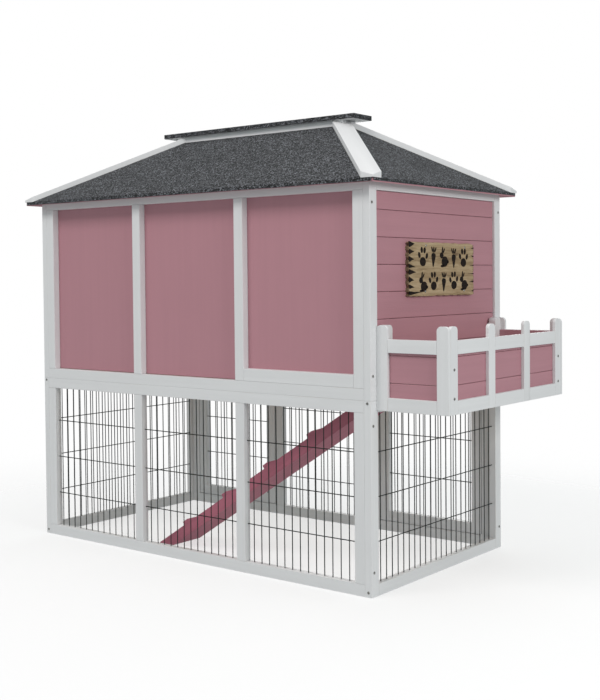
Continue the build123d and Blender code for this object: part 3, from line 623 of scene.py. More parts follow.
# ---------------------------------------------------------------------------
# Geometry node trees
# ---------------------------------------------------------------------------
class Tree:
    """A Geometry Nodes tree under construction, with named inputs."""

    def __init__(self, name, inputs):
        self.group = bpy.data.node_groups.new(name, "GeometryNodeTree")
        self.ids = {}
        self.group.interface.new_socket("Geometry", in_out="INPUT", socket_type="NodeSocketGeometry")
        for label, (kind, default) in inputs.items():
            socket = self.group.interface.new_socket(label, in_out="INPUT", socket_type=kind)
            if default is not None:
                socket.default_value = default
            self.ids[label] = socket.identifier
        self.group.interface.new_socket("Geometry", in_out="OUTPUT", socket_type="NodeSocketGeometry")
        self.start = self.group.nodes.new("NodeGroupInput")
        self.end = self.group.nodes.new("NodeGroupOutput")

    def given(self, label):
        return self.start.outputs[label]

    def node(self, kind, settings=None, sockets=None, out=0):
        node = self.group.nodes.new(kind)
        for name, setting in (settings or {}).items():
            setattr(node, name, setting)
        for key, given in (sockets or {}).items():
            for one in given if isinstance(given, list) else [given]:
                if isinstance(one, bpy.types.NodeSocket):
                    self.group.links.new(one, node.inputs[key])
                else:
                    node.inputs[key].default_value = one
        return node.outputs[out]

    def maths(self, operation, a, b=0.0):
        return self.node("ShaderNodeMath", {"operation": operation}, {0: a, 1: b})

    def close(self, geometry):
        """Ends the tree with real geometry in one material."""
        real = self.node("GeometryNodeRealizeInstances", None, {0: geometry})
        done = self.node("GeometryNodeSetMaterial", None, {0: real, "Material": self.given("Material")})
        self.group.links.new(done, self.end.inputs[0])
        return self

    def run(self, name, mesh, values):
        """The tree's result on one mesh, as a plain mesh."""
        obj = linked(name, mesh)
        modifier = obj.modifiers.new("Build", "NODES")
        modifier.node_group = self.group
        for label, value in values.items():
            modifier[self.ids[label]] = value
        return plain_mesh(obj)


def mesh_panel_tree():
    """Upright wires and cross wires of a welded panel, centred on the origin in its X-Z plane."""
    tree = Tree("Welded Wire Panel", {
        "Width": ("NodeSocketFloat", 1.0),
        "Height": ("NodeSocketFloat", 0.44),
        "Columns": ("NodeSocketInt", 40),
        "Pitch": ("NodeSocketFloat", 0.0254),
        "Rows": ("NodeSocketInt", 5),
        "Row Pitch": ("NodeSocketFloat", 0.1085),
        "Gauge": ("NodeSocketFloat", 0.0026),
        "Waviness": ("NodeSocketFloat", 0.0006),
        "Seed": ("NodeSocketFloat", 0.0),
        "Material": ("NodeSocketMaterial", None),
    })
    radius = tree.maths("MULTIPLY", tree.given("Gauge"), 0.5)
    section = tree.node("GeometryNodeCurvePrimitiveCircle", {"mode": "RADIUS"}, {"Resolution": 8, "Radius": radius})

    def wire_set(count, pitch, length, across, depth, steps):
        """A row of parallel wires: across is the way they are spaced, and they run the other way."""
        span = tree.maths("MULTIPLY", tree.maths("SUBTRACT", count, 1.0), pitch)
        first = tree.maths("MULTIPLY", span, -0.5)
        start_x, start_z = (first, 0.0) if across == "X" else (0.0, first)
        step_x, step_z = (pitch, 0.0) if across == "X" else (0.0, pitch)
        start = tree.node("ShaderNodeCombineXYZ", None, {0: start_x, 1: depth, 2: start_z})
        step = tree.node("ShaderNodeCombineXYZ", None, {0: step_x, 1: 0.0, 2: step_z})
        places = tree.node(
            "GeometryNodeMeshLine", {"mode": "OFFSET"}, {"Count": count, "Start Location": start, "Offset": step},
        )
        reach = tree.maths("MULTIPLY", length, 0.5)
        back = tree.maths("MULTIPLY", length, -0.5)
        ends = [
            tree.node("ShaderNodeCombineXYZ", None, {0: 0.0, 2: end} if across == "X" else {0: end, 2: 0.0})
            for end in (back, reach)
        ]
        line = tree.node("GeometryNodeCurvePrimitiveLine", None, {"Start": ends[0], "End": ends[1]})
        line = tree.node("GeometryNodeResampleCurve", None, {"Curve": line, "Count": steps})
        wires = tree.node("GeometryNodeInstanceOnPoints", None, {"Points": places, "Instance": line})
        wires = tree.node("GeometryNodeRealizeInstances", None, {0: wires})
        sway = tree.node(
            "ShaderNodeTexNoise", {"noise_dimensions": "4D"},
            {"Vector": tree.node("GeometryNodeInputPosition"), "W": tree.given("Seed"), "Scale": 14.0}, out=1,
        )
        sway = tree.node("ShaderNodeVectorMath", {"operation": "SUBTRACT"}, {0: sway, 1: (0.5, 0.5, 0.5)})
        amount = tree.node("ShaderNodeCombineXYZ", None, {
            0: tree.given("Waviness"), 1: tree.maths("MULTIPLY", tree.given("Waviness"), 0.5),
            2: tree.given("Waviness"),
        })
        sway = tree.node("ShaderNodeVectorMath", {"operation": "MULTIPLY"}, {0: sway, 1: amount})
        wires = tree.node("GeometryNodeSetPosition", None, {"Geometry": wires, "Offset": sway})
        tube = tree.node(
            "GeometryNodeCurveToMesh", None, {"Curve": wires, "Profile Curve": section, "Fill Caps": True},
        )
        return tree.node("GeometryNodeSetShadeSmooth", None, {0: tube})

    uprights = wire_set(
        tree.given("Columns"), tree.given("Pitch"), tree.given("Height"), "X", 0.0, 11,
    )
    sunk = tree.maths("MULTIPLY", tree.given("Gauge"), 0.8)
    crosses = wire_set(
        tree.given("Rows"), tree.given("Row Pitch"), tree.given("Width"), "Z", sunk, 25,
    )
    return tree.close(tree.node("GeometryNodeJoinGeometry", None, {0: [uprights, crosses]}))


def fastener_tree(head):
    """One head on every point, turned by a seeded amount about the point's facing."""
    tree = Tree("Fasteners", {
        "Head Radius": ("NodeSocketFloat", 0.0035),
        "Seed": ("NodeSocketInt", 3),
        "Material": ("NodeSocketMaterial", None),
    })
    shape = tree.node("GeometryNodeObjectInfo", {"transform_space": "ORIGINAL"}, {"Object": head}, out="Geometry")
    facing = tree.node("GeometryNodeInputNamedAttribute", {"data_type": "FLOAT_VECTOR"}, {"Name": "facing"})
    turned = tree.node("FunctionNodeAlignRotationToVector", {"axis": "Z"}, {"Vector": facing})
    spin = tree.node(
        "FunctionNodeRandomValue", {"data_type": "FLOAT"},
        {2: 0.0, 3: math.pi / 2, "Seed": tree.given("Seed")}, out=1,
    )
    own = tree.node("ShaderNodeCombineXYZ", None, {2: spin})
    euler = tree.node("FunctionNodeEulerToRotation", None, {0: own})
    both = tree.node(
        "FunctionNodeRotateRotation", {"rotation_space": "LOCAL"}, {"Rotation": turned, "Rotate By": euler},
    )
    heads = tree.node("GeometryNodeInstanceOnPoints", None, {
        "Points": tree.given("Geometry"), "Instance": shape, "Rotation": both, "Scale": tree.given("Head Radius"),
    })
    return tree.close(heads)


def turned_rings(bm, levels, wobble):
    """Rings of (radius, height) levels joined into a wall and closed below; wobble has a factor a side."""
    sides = len(wobble)
    turns = [2 * math.pi * i / sides for i in range(sides)]
    rings = [
        [bm.verts.new((radius * w * math.cos(t), radius * w * math.sin(t), height)) for w, t in zip(wobble, turns)]
        for radius, height in levels
    ]
    for low, high in zip(rings, rings[1:]):
        for i in range(sides):
            j = (i + 1) % sides
            bm.faces.new((low[i], low[j], high[j], high[i]))
    bm.faces.new(list(reversed(rings[0])))
    return rings


def screw_head_mesh():
    """A countersunk head of radius 1, flat on Z = 0, with a cross recess."""
    bm = bmesh.new()
    sides = 24
    arm, arm_w, dip = 0.55, 0.13, 0.22
    levels = [(0.94, -0.25), (1.0, 0.10), (0.93, 0.24)]
    rings = turned_rings(bm, levels, [1.0] * sides)
    cross = []
    for quarter in range(4):
        turn = Matrix.Rotation(quarter * math.pi / 2, 3, "Z")
        cross += [turn @ Vector(p) for p in ((arm, -arm_w, 0), (arm, arm_w, 0), (arm_w, arm_w, 0))]
    top, low_z = levels[-1][1] + 0.03, levels[-1][1] - dip
    rim = [bm.verts.new((p.x, p.y, top)) for p in cross]
    foot = [bm.verts.new((p.x * 0.8, p.y * 0.8, low_z)) for p in cross]
    count = len(cross)
    for i in range(count):
        j = (i + 1) % count
        bm.faces.new((rim[i], rim[j], foot[j], foot[i]))
    bm.faces.new(foot)
    loop = [bm.edges.get((rings[-1][i], rings[-1][(i + 1) % sides])) for i in range(sides)]
    loop += [bm.edges.get((rim[i], rim[(i + 1) % count])) for i in range(count)]
    bmesh.ops.triangle_fill(bm, edges=loop, use_beauty=True)
    bmesh.ops.recalc_face_normals(bm, faces=bm.faces)
    return closed(bm, "screw_head")


def nail_head_mesh():
    """A hand-forged nail head of radius 1, domed and a little uneven."""
    rng = random.Random(5)
    bm = bmesh.new()
    wobble = [1 + rng.uniform(-0.06, 0.06) for _ in range(12)]
    rings = turned_rings(bm, ((1.0, -0.25), (1.0, 0.12), (0.72, 0.36), (0.30, 0.44)), wobble)
    bm.faces.new(rings[-1])
    return closed(bm, "nail_head")


def fasteners(name, head_mesh, points, radius, body, slot, seed, replaced=()):
    """Heads at (place, facing) points, as one piece."""
    head = linked(f"{name}_head", head_mesh)
    spots = bpy.data.meshes.new(name)
    spots.from_pydata([p for p, _ in points], [], [])
    facing = spots.attributes.new("facing", "FLOAT_VECTOR", "POINT")
    for i, (_, way) in enumerate(points):
        facing.data[i].vector = way
    mesh = fastener_tree(head).run(name, spots, {
        "Head Radius": radius, "Seed": seed, "Material": MATERIALS[slot],
    })
    bpy.data.objects.remove(head)
    piece(name, mesh, body, MATERIALS[slot], slot, replaced)


def node_islands(node):
    """The (low, high) box of each separate solid of a frame node."""
    mesh = closed(merged(node), "look")
    boxes = [span([mesh.vertices[p].co for p in group]) for group in islands(mesh)]
    bpy.data.meshes.remove(mesh)
    return boxes


# ---------------------------------------------------------------------------
# Operators, one for each group of pieces
# ---------------------------------------------------------------------------
class HUTCH_OT_stage(Operator):
    """Floor, soft lights, surroundings and camera"""

    bl_idname = "hutch.stage"
    bl_label = "Stage"

    def execute(self, context):
        make_materials(context.scene)
        self.floor()
        self.lights(context)
        self.camera(context)
        return {"FINISHED"}

    def floor(self):
        half, drop = 3.0, 0.0008
        corners = [(x * half, y * half, -drop) for x, y in ((-1, -1), (1, -1), (1, 1), (-1, 1))]
        mesh = bpy.data.meshes.new("studio_floor")
        mesh.from_pydata(corners, [], [(0, 1, 2, 3)])
        mesh.materials.append(MATERIALS["floor"])
        linked("studio_floor", mesh)

    def lights(self, context):
        world = bpy.data.worlds.new("Studio")
        world.use_nodes = True
        nodes, links = world.node_tree.nodes, world.node_tree.links
        background = nodes["Background"]
        seen = nodes.new("ShaderNodeLightPath")
        choice = nodes.new("ShaderNodeMix")
        choice.data_type = "RGBA"
        colours = [socket for socket in choice.inputs if socket.type == "RGBA"]
        colours[0].default_value, colours[1].default_value = (*ROOM_LIGHT, 1), (1, 1, 1, 1)
        chosen = next(socket for socket in choice.outputs if socket.type == "RGBA")
        links.new(seen.outputs["Is Camera Ray"], choice.inputs["Factor"])
        links.new(chosen, background.inputs["Color"])
        context.scene.world = world
        target = Vector((0, 0, 0.6))
        for name, place, size, power, tint in LIGHTS:
            light = bpy.data.lights.new(name, "AREA")
            light.shape = "RECTANGLE"
            light.size, light.size_y = size
            light.energy = power
            light.color = tint
            obj = linked(name, light)
            obj.location = place
            obj.rotation_euler = (target - Vector(place)).to_track_quat("-Z", "Y").to_euler()

    def camera(self, context):
        data = bpy.data.cameras.new("Camera")
        data.sensor_width = 36.0
        data.sensor_fit = "AUTO"
        data.lens = CAMERA_LENS
        data.shift_x, data.shift_y = CAMERA_SHIFT
        data.clip_end = 60.0
        camera = linked("Camera", data)
        turn, tilt, roll = (math.radians(a) for a in (CAMERA_TURN, CAMERA_TILT, CAMERA_ROLL))
        back = Vector((math.sin(turn) * math.cos(tilt), -math.cos(turn) * math.cos(tilt), math.sin(tilt)))
        right = Vector((math.cos(turn), math.sin(turn), 0))
        up = back.cross(right)
        rolled_right = math.cos(roll) * right + math.sin(roll) * up
        rolled_up = -math.sin(roll) * right + math.cos(roll) * up
        axes = Matrix((rolled_right, rolled_up, back)).transposed().to_4x4()
        camera.matrix_world = Matrix.Translation(CAMERA_PLACE) @ axes
        context.scene.camera = camera
        context.scene.view_settings.view_transform = "Standard"


ROOM_LIGHT = (0.40, 0.432, 0.436)
CAMERA_TURN = 37.6106
CAMERA_TILT = 1.6414
CAMERA_ROLL = -0.4764
CAMERA_LENS = 57.86
CAMERA_SHIFT = (-0.0273, -0.0572)
CAMERA_PLACE = Vector((RIGHT_WALL_X + 1.52581, -2.4958, 0.7641))
# Name, place, size across and up, watts, tint
LIGHTS = (
    ("Key", (-0.8, -3.5, 4.4), (2.4, 1.6), 112.0, (1.0, 0.955, 0.945)),
    ("Fill", (4.3, -1.0, 2.0), (1.8, 1.6), 70.0, (1.0, 0.985, 0.98)),
    ("Top", (0.2, 0.4, 4.8), (3.0, 3.0), 34.0, (1.0, 0.98, 0.97)),
    ("Rear", (-1.8, 4.4, 1.2), (3.2, 1.4), 70.0, (0.98, 1.0, 0.995)),
)


class HUTCH_OT_frames(Operator):
    """White painted frames of the run and the house, with eased edges"""

    bl_idname = "hutch.frames"
    bl_label = "Frames"

    def execute(self, context):
        special = BALCONY_WHITE + ROOF_WHITE + TURN_BUTTONS + DOOR_FRAMES + ["tray_front"]
        nodes = nodes_in_slot("white_paint", special)
        timber_pieces(nodes, "painted", context.scene.hutch_timber.edge, "white_paint")
        return {"FINISHED"}


class HUTCH_OT_walls(Operator):
    """Plywood panels of the front and the boards of the ends, with a groove between neighbours"""

    bl_idname = "hutch.walls"
    bl_label = "Walls"

    def execute(self, context):
        timber_pieces(["house_front_panels"], "painted", PLY_EDGE, "pink_ply", Vector((0, 0, 1)))
        timber_pieces(["house_end_boards"], "painted", GROOVE, "pink_paint")
        return {"FINISHED"}


class HUTCH_OT_floors(Operator):
    """Bare pine floor, its bearers and the balcony's planks"""

    bl_idname = "hutch.floors"
    bl_label = "Floors"

    def execute(self, context):
        timber_pieces(nodes_in_slot("bare_pine"), "planed", context.scene.hutch_timber.edge, "bare_pine")
        return {"FINISHED"}


class HUTCH_OT_doors(Operator):
    """Door frames and the boards of the two house doors"""

    bl_idname = "hutch.doors"
    bl_label = "Doors"

    def execute(self, context):
        timber_pieces(DOOR_FRAMES, "painted", context.scene.hutch_timber.edge, "white_paint")
        timber_pieces(["house_left_door_boards", "house_right_door_boards"], "painted", GROOVE, "pink_paint")
        timber_pieces(TURN_BUTTONS, "painted", BUTTON_EDGE, "white_paint")
        return {"FINISHED"}


class HUTCH_OT_wire_panels(Operator):
    """Welded wire panels of the run, its doors and the rear window"""

    bl_idname = "hutch.wire_panels"
    bl_label = "Wire panels"

    def execute(self, context):
        wire = context.scene.hutch_wire
        tree = mesh_panel_tree()
        for seed, (node, (columns, rows, row_pitch, inward)) in enumerate(WIRE_PANELS.items()):
            bm = bmesh.new()
            for part, (low, high) in enumerate(node_islands(node)):
                size = high - low
                panel = tree.run(node, bpy.data.meshes.new(node), {
                    "Width": max(size.x, size.y) + 2 * WIRE_END, "Height": size.z + 2 * WIRE_END,
                    "Columns": columns, "Pitch": wire.pitch, "Rows": rows,
                    "Row Pitch": row_pitch or wire.row_pitch, "Gauge": wire.gauge,
                    "Seed": float(10 * seed + part), "Material": MATERIALS["coated_wire"],
                })
                turn = math.atan2(inward[1], inward[0]) - math.pi / 2
                panel.transform(Matrix.Translation((low + high) / 2) @ Matrix.Rotation(turn, 4, "Z"))
                bm.from_mesh(panel)
                bpy.data.meshes.remove(panel)
            material = MATERIALS["coated_wire"]
            piece(f"{node}_wires", closed(bm, node), body_of_node(node), material, "coated_wire", [node])
        return {"FINISHED"}


class HUTCH_OT_roof(Operator):
    """Roof boards, granulated felt, hip boards, ridge box and the felted ridge cap"""

    bl_idname = "hutch.roof"
    bl_label = "Roof"

    def execute(self, context):
        edge = context.scene.hutch_timber.edge
        timber_pieces(["roof_long_boards", "roof_end_boards"], "painted", ROOF_BOARD_EDGE, "pink_paint")
        timber_pieces(ROOF_WHITE, "painted", edge, "white_paint")
        felt = MATERIALS["mineral_felt"]
        cap = eased_copy("ridge_cap_felt", FELT_EDGE)
        piece("laid_ridge_cap_felt", cap, "hutch", felt, "mineral_felt", ["ridge_cap_felt"])
        bm = bmesh.new()
        bm.from_mesh(eased_copy("roof_felt", FELT_EDGE))
        self.drip_edge(bm)
        piece("laid_roof_felt", closed(bm, "roof_felt"), "hutch", felt, "mineral_felt", ["roof_felt"])
        return {"FINISHED"}

    def drip_edge(self, bm):
        """The felt's margin, turned down over the edges of the roof boards."""
        low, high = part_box("roof_felt")
        thick, step, unevenness = 0.0014, 0.012, 0.00022
        lap_in, corner_gap = 0.0006, 0.003
        rng = random.Random(21)
        for axis, side, turn_down in ((1, -1, 0.0062), (1, 1, 0.0062), (0, -1, 0.0045), (0, 1, 0.0045)):
            other = 1 - axis
            face = high[axis] if side > 0 else low[axis]
            start, stop = low[other] + corner_gap, high[other] - corner_gap
            count = int((stop - start) / step)
            rings = []
            sag = 0.0
            for i in range(count + 1):
                along = start + (stop - start) * i / count
                sag = 0.8 * sag + rng.uniform(-unevenness, unevenness)
                corners = (
                    (face - side * lap_in, low.z + 0.0018), (face + side * thick, low.z + 0.0012),
                    (face + side * (thick + sag * 0.3), low.z - turn_down + sag),
                    (face + side * 0.0003, low.z - turn_down + sag),
                )
                ring = []
                for out, z in corners:
                    point = [0, 0, z]
                    point[axis], point[other] = out, along
                    ring.append(bm.verts.new(point))
                rings.append(ring)
            for a, b in zip(rings, rings[1:]):
                for k in range(4):
                    m = (k + 1) % 4
                    bm.faces.new((a[k], a[m], b[m], b[k]))
            bm.faces.new(rings[0])
            bm.faces.new(rings[-1][::-1])
        bmesh.ops.recalc_face_normals(bm, faces=bm.faces)


class HUTCH_OT_balcony(Operator):
    """Balcony frames with round-headed posts, and the boards behind them"""

    bl_idname = "hutch.balcony"
    bl_label = "Balcony"

    def execute(self, context):
        timber_pieces(BALCONY_WHITE, "painted", SMALL_EDGE, "white_paint")
        timber_pieces(["balcony_boards"], "painted", GROOVE, "pink_paint")
        return {"FINISHED"}


class HUTCH_OT_ramp(Operator):
    """Ramp plank and its cleats"""

    bl_idname = "hutch.ramp"
    bl_label = "Ramp"

    def execute(self, context):
        timber_pieces(["ramp_deck", "ramp_cleats"], "painted", RAMP_EDGE, "ramp_paint")
        return {"FINISHED"}


class HUTCH_OT_tray(Operator):
    """Moulded droppings tray and its timber front"""

    bl_idname = "hutch.tray"
    bl_label = "Droppings tray"

    def execute(self, context):
        timber_pieces(["tray_front"], "painted", SMALL_EDGE, "white_paint")
        mesh = eased_copy("droppings_tray", TRAY_EDGE)
        piece(
            "moulded_droppings_tray", mesh, body_of_node("droppings_tray"), MATERIALS["tray_plastic"],
            "tray_plastic", ["droppings_tray"],
        )
        return {"FINISHED"}


class HUTCH_OT_hinges(Operator):
    """Pressed hinge leaves, their pins and their screws"""

    bl_idname = "hutch.hinges"
    bl_label = "Hinges"

    def execute(self, context):
        screw = screw_head_mesh()
        for number, node in enumerate(nodes_in_slot("zinc_plate")):
            mesh = eased_copy(node, PRESSED_EDGE, segments=1)
            body = body_of_node(node)
            piece(f"pressed_{node}", mesh, body, MATERIALS["zinc_plate"], "zinc_plate", [node])
            if node in ("hinge_pins", "ramp_hinge_leaves"):
                continue
            points = []
            for low, high in node_islands(node):
                if high.z - low.z < LEAF_LEAST_HEIGHT or low.y < DOOR_FACE_Y - 0.001:
                    continue
                pin = self.pin_x(low, high)
                outer = low.x if abs(low.x - pin) > abs(high.x - pin) else high.x
                inward = 1 if outer == low.x else -1
                for share in (0.2, 0.8):
                    z = low.z + share * (high.z - low.z)
                    place = Vector((outer + inward * LEAF_SCREW_INSET, DOOR_FACE_Y + LEAF_T, z))
                    points.append((place, Vector((0, 1, 0))))
            fasteners(f"{node}_screws", screw.copy(), points, LEAF_SCREW_RADIUS, body, "screw_steel", number + 20)
        return {"FINISHED"}

    def pin_x(self, low, high):
        """X of the pin nearest to a leaf."""
        pins = [(a.x + b.x) / 2 for a, b in node_islands("hinge_pins") if b.z - a.z > LEAF_LEAST_HEIGHT]
        return min(pins, key=lambda x: min(abs(x - low.x), abs(x - high.x)))


class HUTCH_OT_screws(Operator):
    """Frame screws, turn-button screws and the plaque's nails"""

    bl_idname = "hutch.screws"
    bl_label = "Screws and nails"

    def execute(self, context):
        points = []
        for low, high in node_islands("frame_screws"):
            size = high - low
            axis = min(range(3), key=lambda k: size[k])
            centre = (low + high) / 2
            way = Vector((0, 0, 0))
            way[axis] = 1 if centre[axis] > middle("house_end_frames")[axis] else -1
            centre[axis] -= way[axis] * size[axis] / 2
            points.append((centre, way))
        fasteners(
            "frame_screw_heads", screw_head_mesh(), points, FRAME_SCREW_RADIUS, "hutch", "screw_steel", 4,
            ["frame_screws"],
        )
        points = []
        for low, high in node_islands("turn_button_screws"):
            centre = (low + high) / 2
            points.append((Vector((centre.x, high.y - BUTTON_SCREW_SUNK, centre.z)), Vector((0, 1, 0))))
        fasteners("button_screw_heads", screw_head_mesh(), points, BUTTON_SCREW_RADIUS, "hutch", "screw_steel", 9)
        shanks = eased_copy("turn_button_screws", SHANK_EDGE)
        piece(
            "button_screw_shanks", shanks, "hutch", MATERIALS["screw_steel"], "screw_steel", ["turn_button_screws"],
        )
        points = []
        for low, high in node_islands("plaque_nails"):
            centre = (low + high) / 2
            points.append((Vector((low.x, centre.y, centre.z)), Vector((1, 0, 0))))
        fasteners(
            "plaque_nail_heads", nail_head_mesh(), points, NAIL_RADIUS, "hutch", "screw_steel", 2, ["plaque_nails"],
        )
        return {"FINISHED"}


def ellipse(cx, cy, rx, ry, turn=0.0, count=20):
    """Points round an ellipse; turn is in degrees."""
    c, s = math.cos(math.radians(turn)), math.sin(math.radians(turn))
    points = []
    for i in range(count):
        a = 2 * math.pi * i / count
        x, y = rx * math.cos(a), ry * math.sin(a)
        points.append((cx + c * x - s * y, cy + s * x + c * y))
    return points


def paw_print():
    """Outlines of a paw print about 1 high, centred."""
    toes = [(-0.34, 0.10, 24), (-0.13, 0.36, 8), (0.13, 0.36, -8), (0.34, 0.10, -24)]
    return [ellipse(0, -0.20, 0.27, 0.22)] + [ellipse(x, y, 0.10, 0.15, turn) for x, y, turn in toes]


def carrot():
    """Outlines of a carrot about 1 high, leaves up."""
    root = [(0.0, -0.5), (0.05, -0.42), (0.15, -0.10), (0.20, 0.08), (0.15, 0.18), (0.0, 0.21),
            (-0.15, 0.18), (-0.20, 0.08), (-0.15, -0.10), (-0.05, -0.42)]
    leaves = [ellipse(x, 0.37, 0.055, 0.15, turn) for x, turn in ((-0.15, 26), (0.0, 0), (0.15, -26))]
    return [root] + leaves


def rabbit():
    """Outlines of a sitting rabbit about 1 high, facing left."""
    return [
        ellipse(0.10, -0.20, 0.30, 0.26, 12), ellipse(-0.20, 0.10, 0.17, 0.15),
        ellipse(-0.13, 0.37, 0.055, 0.17, -10), ellipse(0.0, 0.33, 0.05, 0.16, -32),
        ellipse(0.40, -0.20, 0.08, 0.08), ellipse(-0.12, -0.43, 0.16, 0.06),
    ]


class HUTCH_OT_plaque(Operator):
    """Weathered plank with charred split ends and burnt paw prints, carrots and rabbits"""

    bl_idname = "hutch.plaque"
    bl_label = "Plaque"

    def execute(self, context):
        settings = context.scene.hutch_plaque
        low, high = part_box("plaque")
        self.marks(low, high, *self.plank(settings, low, high))
        return {"FINISHED"}

    def split_end(self, rng, x, inward, z_low, z_high, teeth, depth):
        """Points up one split end, from low to high, and the places of its splits."""
        points, splits = [], []
        step = (z_high - z_low) / teeth
        for i in range(teeth):
            base = z_low + step * i
            lip = x + inward * rng.uniform(0.0, 0.2) * depth
            middle_z = base + step * rng.uniform(0.45, 0.6)
            reach = x + inward * depth * rng.uniform(0.6, 1.0)
            points += [
                (lip, base + 0.10 * step), (x + inward * rng.uniform(0, 0.15) * depth, base + 0.28 * step),
                (reach, middle_z - 0.05 * step), (reach, middle_z + 0.05 * step),
                (x + inward * rng.uniform(0, 0.15) * depth, base + 0.78 * step),
            ]
            splits.append((lip, reach, middle_z))
        return points, splits

    def plank(self, settings, low, high):
        """The board itself. Returns the splits of its left and right ends."""
        rng = random.Random(settings.seed)
        y0, y1, z0, z1 = low.y, high.y, low.z + 0.0006, high.z - 0.0006
        teeth, depth = settings.teeth, settings.depth
        left, left_splits = self.split_end(rng, y0, 1, z0, z1, teeth, depth)
        right, right_splits = self.split_end(rng, y1, -1, z0, z1, teeth - 2, depth * 0.6)

        def long_edge(z, inward):
            count = 26
            return [
                (y0 + (y1 - y0) * (i + 1) / (count + 1), z + inward * rng.uniform(0, 0.0022))
                for i in range(count)
            ]

        outline = long_edge(z0, 1) + right + long_edge(z1, -1)[::-1] + left[::-1]
        bm = bmesh.new()
        verts = [bm.verts.new((low.x, y, z)) for y, z in outline]
        edges = [bm.edges.new((a, b)) for a, b in zip(verts, verts[1:] + verts[:1])]
        bmesh.ops.triangle_fill(bm, edges=edges, use_beauty=True)
        grown = bmesh.ops.extrude_face_region(bm, geom=bm.faces[:])
        moved = [v for v in grown["geom"] if isinstance(v, bmesh.types.BMVert)]
        bmesh.ops.translate(bm, verts=moved, vec=(high.x - low.x, 0, 0))
        bmesh.ops.recalc_face_normals(bm, faces=bm.faces)
        front = high.x - 1e-6
        rim = [e for e in bm.edges if e.calc_face_angle(0) > 0.8 and all(v.co.x > front for v in e.verts)]
        bmesh.ops.bevel(bm, geom=rim, offset=0.0009, segments=2, affect="EDGES", profile=0.5, clamp_overlap=True)
        mesh = closed(bm, "plank")
        mark_grain(mesh, random.Random(1), Vector((0, 1, 0)))
        piece("weathered_plaque", mesh, "hutch", MATERIALS["driftwood"], "driftwood", ["plaque"])
        return left_splits, right_splits

    def marks(self, low, high, left_splits, right_splits):
        """Two rows of burnt marks and the charred splits of the ends, a hair proud of the face."""
        rng = random.Random(7)
        bm = bmesh.new()
        proud, root = high.x + 0.0005, high.x - 0.001
        centre_y, centre_z = (low.y + high.y) / 2, (low.z + high.z) / 2

        def stamp(outline):
            back, face = ([bm.verts.new((x, y, z)) for y, z in outline] for x in (root, proud))
            bm.faces.new(back)
            bm.faces.new(face)
            for i in range(len(outline)):
                bm.faces.new((back[i - 1], back[i], face[i], face[i - 1]))

        rows = ((0.030, (paw_print, carrot, rabbit, carrot, paw_print), 0.052),
                (-0.032, (rabbit, paw_print, carrot, paw_print, rabbit), 0.050))
        for height, symbols, size in rows:
            for i, symbol in enumerate(symbols):
                y = centre_y + 0.006 + (i - (len(symbols) - 1) / 2) * 0.050
                z = centre_z + height + rng.uniform(-0.002, 0.002)
                tilt = math.radians(rng.uniform(-5, 5))
                for outline in symbol():
                    turned = [
                        (y + size * (a * math.cos(tilt) - b * math.sin(tilt)),
                         z + size * (a * math.sin(tilt) + b * math.cos(tilt)))
                        for a, b in outline
                    ]
                    stamp(turned)
        # Splits, the way in, half the widest mark, and the longest reach past the split
        for splits, way, widest, reach_on in ((left_splits, 1, 0.0082, 0.052), (right_splits, -1, 0.0024, 0.026)):
            for lip, reach, z in splits:
                tip = reach + way * reach_on * (0.32 + 0.68 * rng.random() ** 3)
                burn = widest * rng.uniform(0.62, 1.0)
                bend = rng.uniform(-0.003, 0.003)
                near = abs(reach - lip)
                shoulder, neck = reach - way * near * 0.2, reach * 0.6 + tip * 0.4
                upper = [(lip + way * 0.0012, z + burn), (shoulder, z + burn * 0.85),
                         (neck, z + burn * 0.46 + bend * 0.3), (tip, z + bend + 0.0003)]
                under = [(lip + way * 0.0012, z - burn), (shoulder, z - burn * 0.9),
                         (neck, z - burn * 0.46 + bend * 0.3), (tip, z + bend - 0.0003)]
                stamp(upper + under[::-1])
        bmesh.ops.recalc_face_normals(bm, faces=bm.faces)
        piece("plaque_burnt_marks", closed(bm, "burnt_marks"), "hutch", MATERIALS["burnt"], "driftwood")


# ---------------------------------------------------------------------------
# Which nodes belong to which group
# ---------------------------------------------------------------------------
BALCONY_WHITE = ["balcony_side_frames", "balcony_front_frame", "balcony_wall_posts"]
ROOF_WHITE = ["hip_boards", "ridge_box", "ridge_cap_board"]
DOOR_FRAMES = [f"{room}_{side}_door_frame" for room in ("run", "house") for side in ("left", "right")]
TURN_BUTTONS = [f"{room}_{side}_turn_button" for room in ("run", "house") for side in ("left", "right")]
# Upright wires, cross wires, their pitch where it is special, and the way into the hutch
WIRE_PANELS = {
    "run_front_mesh": (13, 3, None, (0, 1)),
    "run_rear_mesh": (13, 3, None, (0, -1)),
    "run_left_end_mesh": (22, 3, None, (1, 0)),
    "run_right_end_mesh": (22, 3, None, (-1, 0)),
    "house_rear_mesh": (13, 3, None, (0, -1)),
    "run_left_door_mesh": (11, 2, 0.120, (0, -1)),
    "run_right_door_mesh": (11, 2, 0.120, (0, -1)),
}
# How far the wires run on into the frames
WIRE_END = 0.0012
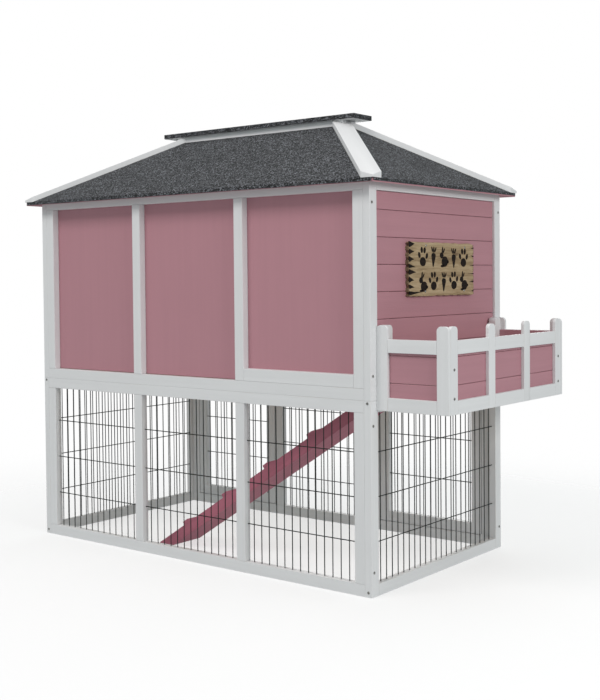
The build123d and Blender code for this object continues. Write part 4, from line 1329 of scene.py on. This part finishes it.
# Widths of the eased edges, and sizes of the fixings
GROOVE = 0.0016
PLY_EDGE = 0.0006
BUTTON_EDGE = 0.0014
ROOF_BOARD_EDGE = 0.0007
FELT_EDGE = 0.0010
SMALL_EDGE = 0.0009
RAMP_EDGE = 0.0008
TRAY_EDGE = 0.0008
PRESSED_EDGE = 0.00025
SHANK_EDGE = 0.0003
FRAME_SCREW_RADIUS = 0.0035
BUTTON_SCREW_RADIUS = 0.0043
LEAF_SCREW_RADIUS = 0.0028
NAIL_RADIUS = 0.0032
LEAF_T = 0.0012
LEAF_SCREW_INSET = 0.0065
BUTTON_SCREW_SUNK = 0.0011
LEAF_LEAST_HEIGHT = 0.045
DOOR_FACE_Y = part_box("run_left_door_frame")[1].y


class HUTCH_PT_sidebar(Panel):
    bl_idname = "HUTCH_PT_sidebar"
    bl_label = "Rabbit Hutch"
    bl_space_type = "VIEW_3D"
    bl_region_type = "UI"
    bl_category = "Hutch"

    def draw(self, context):
        layout = self.layout
        for name in SETTINGS:
            box = layout.box()
            settings = getattr(context.scene, name)
            for prop in settings.__annotations__:
                box.prop(settings, prop)
        for operator in OPERATORS:
            layout.operator(operator.bl_idname)


SETTINGS = {
    "hutch_timber": HutchTimber,
    "hutch_roof": HutchRoof,
    "hutch_wire": HutchWire,
    "hutch_plaque": HutchPlaque,
}
OPERATORS = (
    HUTCH_OT_stage, HUTCH_OT_frames, HUTCH_OT_walls, HUTCH_OT_floors, HUTCH_OT_doors, HUTCH_OT_wire_panels,
    HUTCH_OT_roof, HUTCH_OT_balcony, HUTCH_OT_ramp, HUTCH_OT_tray, HUTCH_OT_hinges, HUTCH_OT_screws,
    HUTCH_OT_plaque,
)


def register():
    for name, group in SETTINGS.items():
        bpy.utils.register_class(group)
        setattr(bpy.types.Scene, name, PointerProperty(type=group))
    for cls in (*OPERATORS, HUTCH_PT_sidebar):
        bpy.utils.register_class(cls)


def unregister():
    for cls in reversed((*OPERATORS, HUTCH_PT_sidebar)):
        bpy.utils.unregister_class(cls)
    for name, group in SETTINGS.items():
        delattr(bpy.types.Scene, name)
        bpy.utils.unregister_class(group)


def main():
    register()
    for operator in OPERATORS:
        group, name = operator.bl_idname.split(".")
        getattr(getattr(bpy.ops, group), name)()


if __name__ == "__main__":
    main()
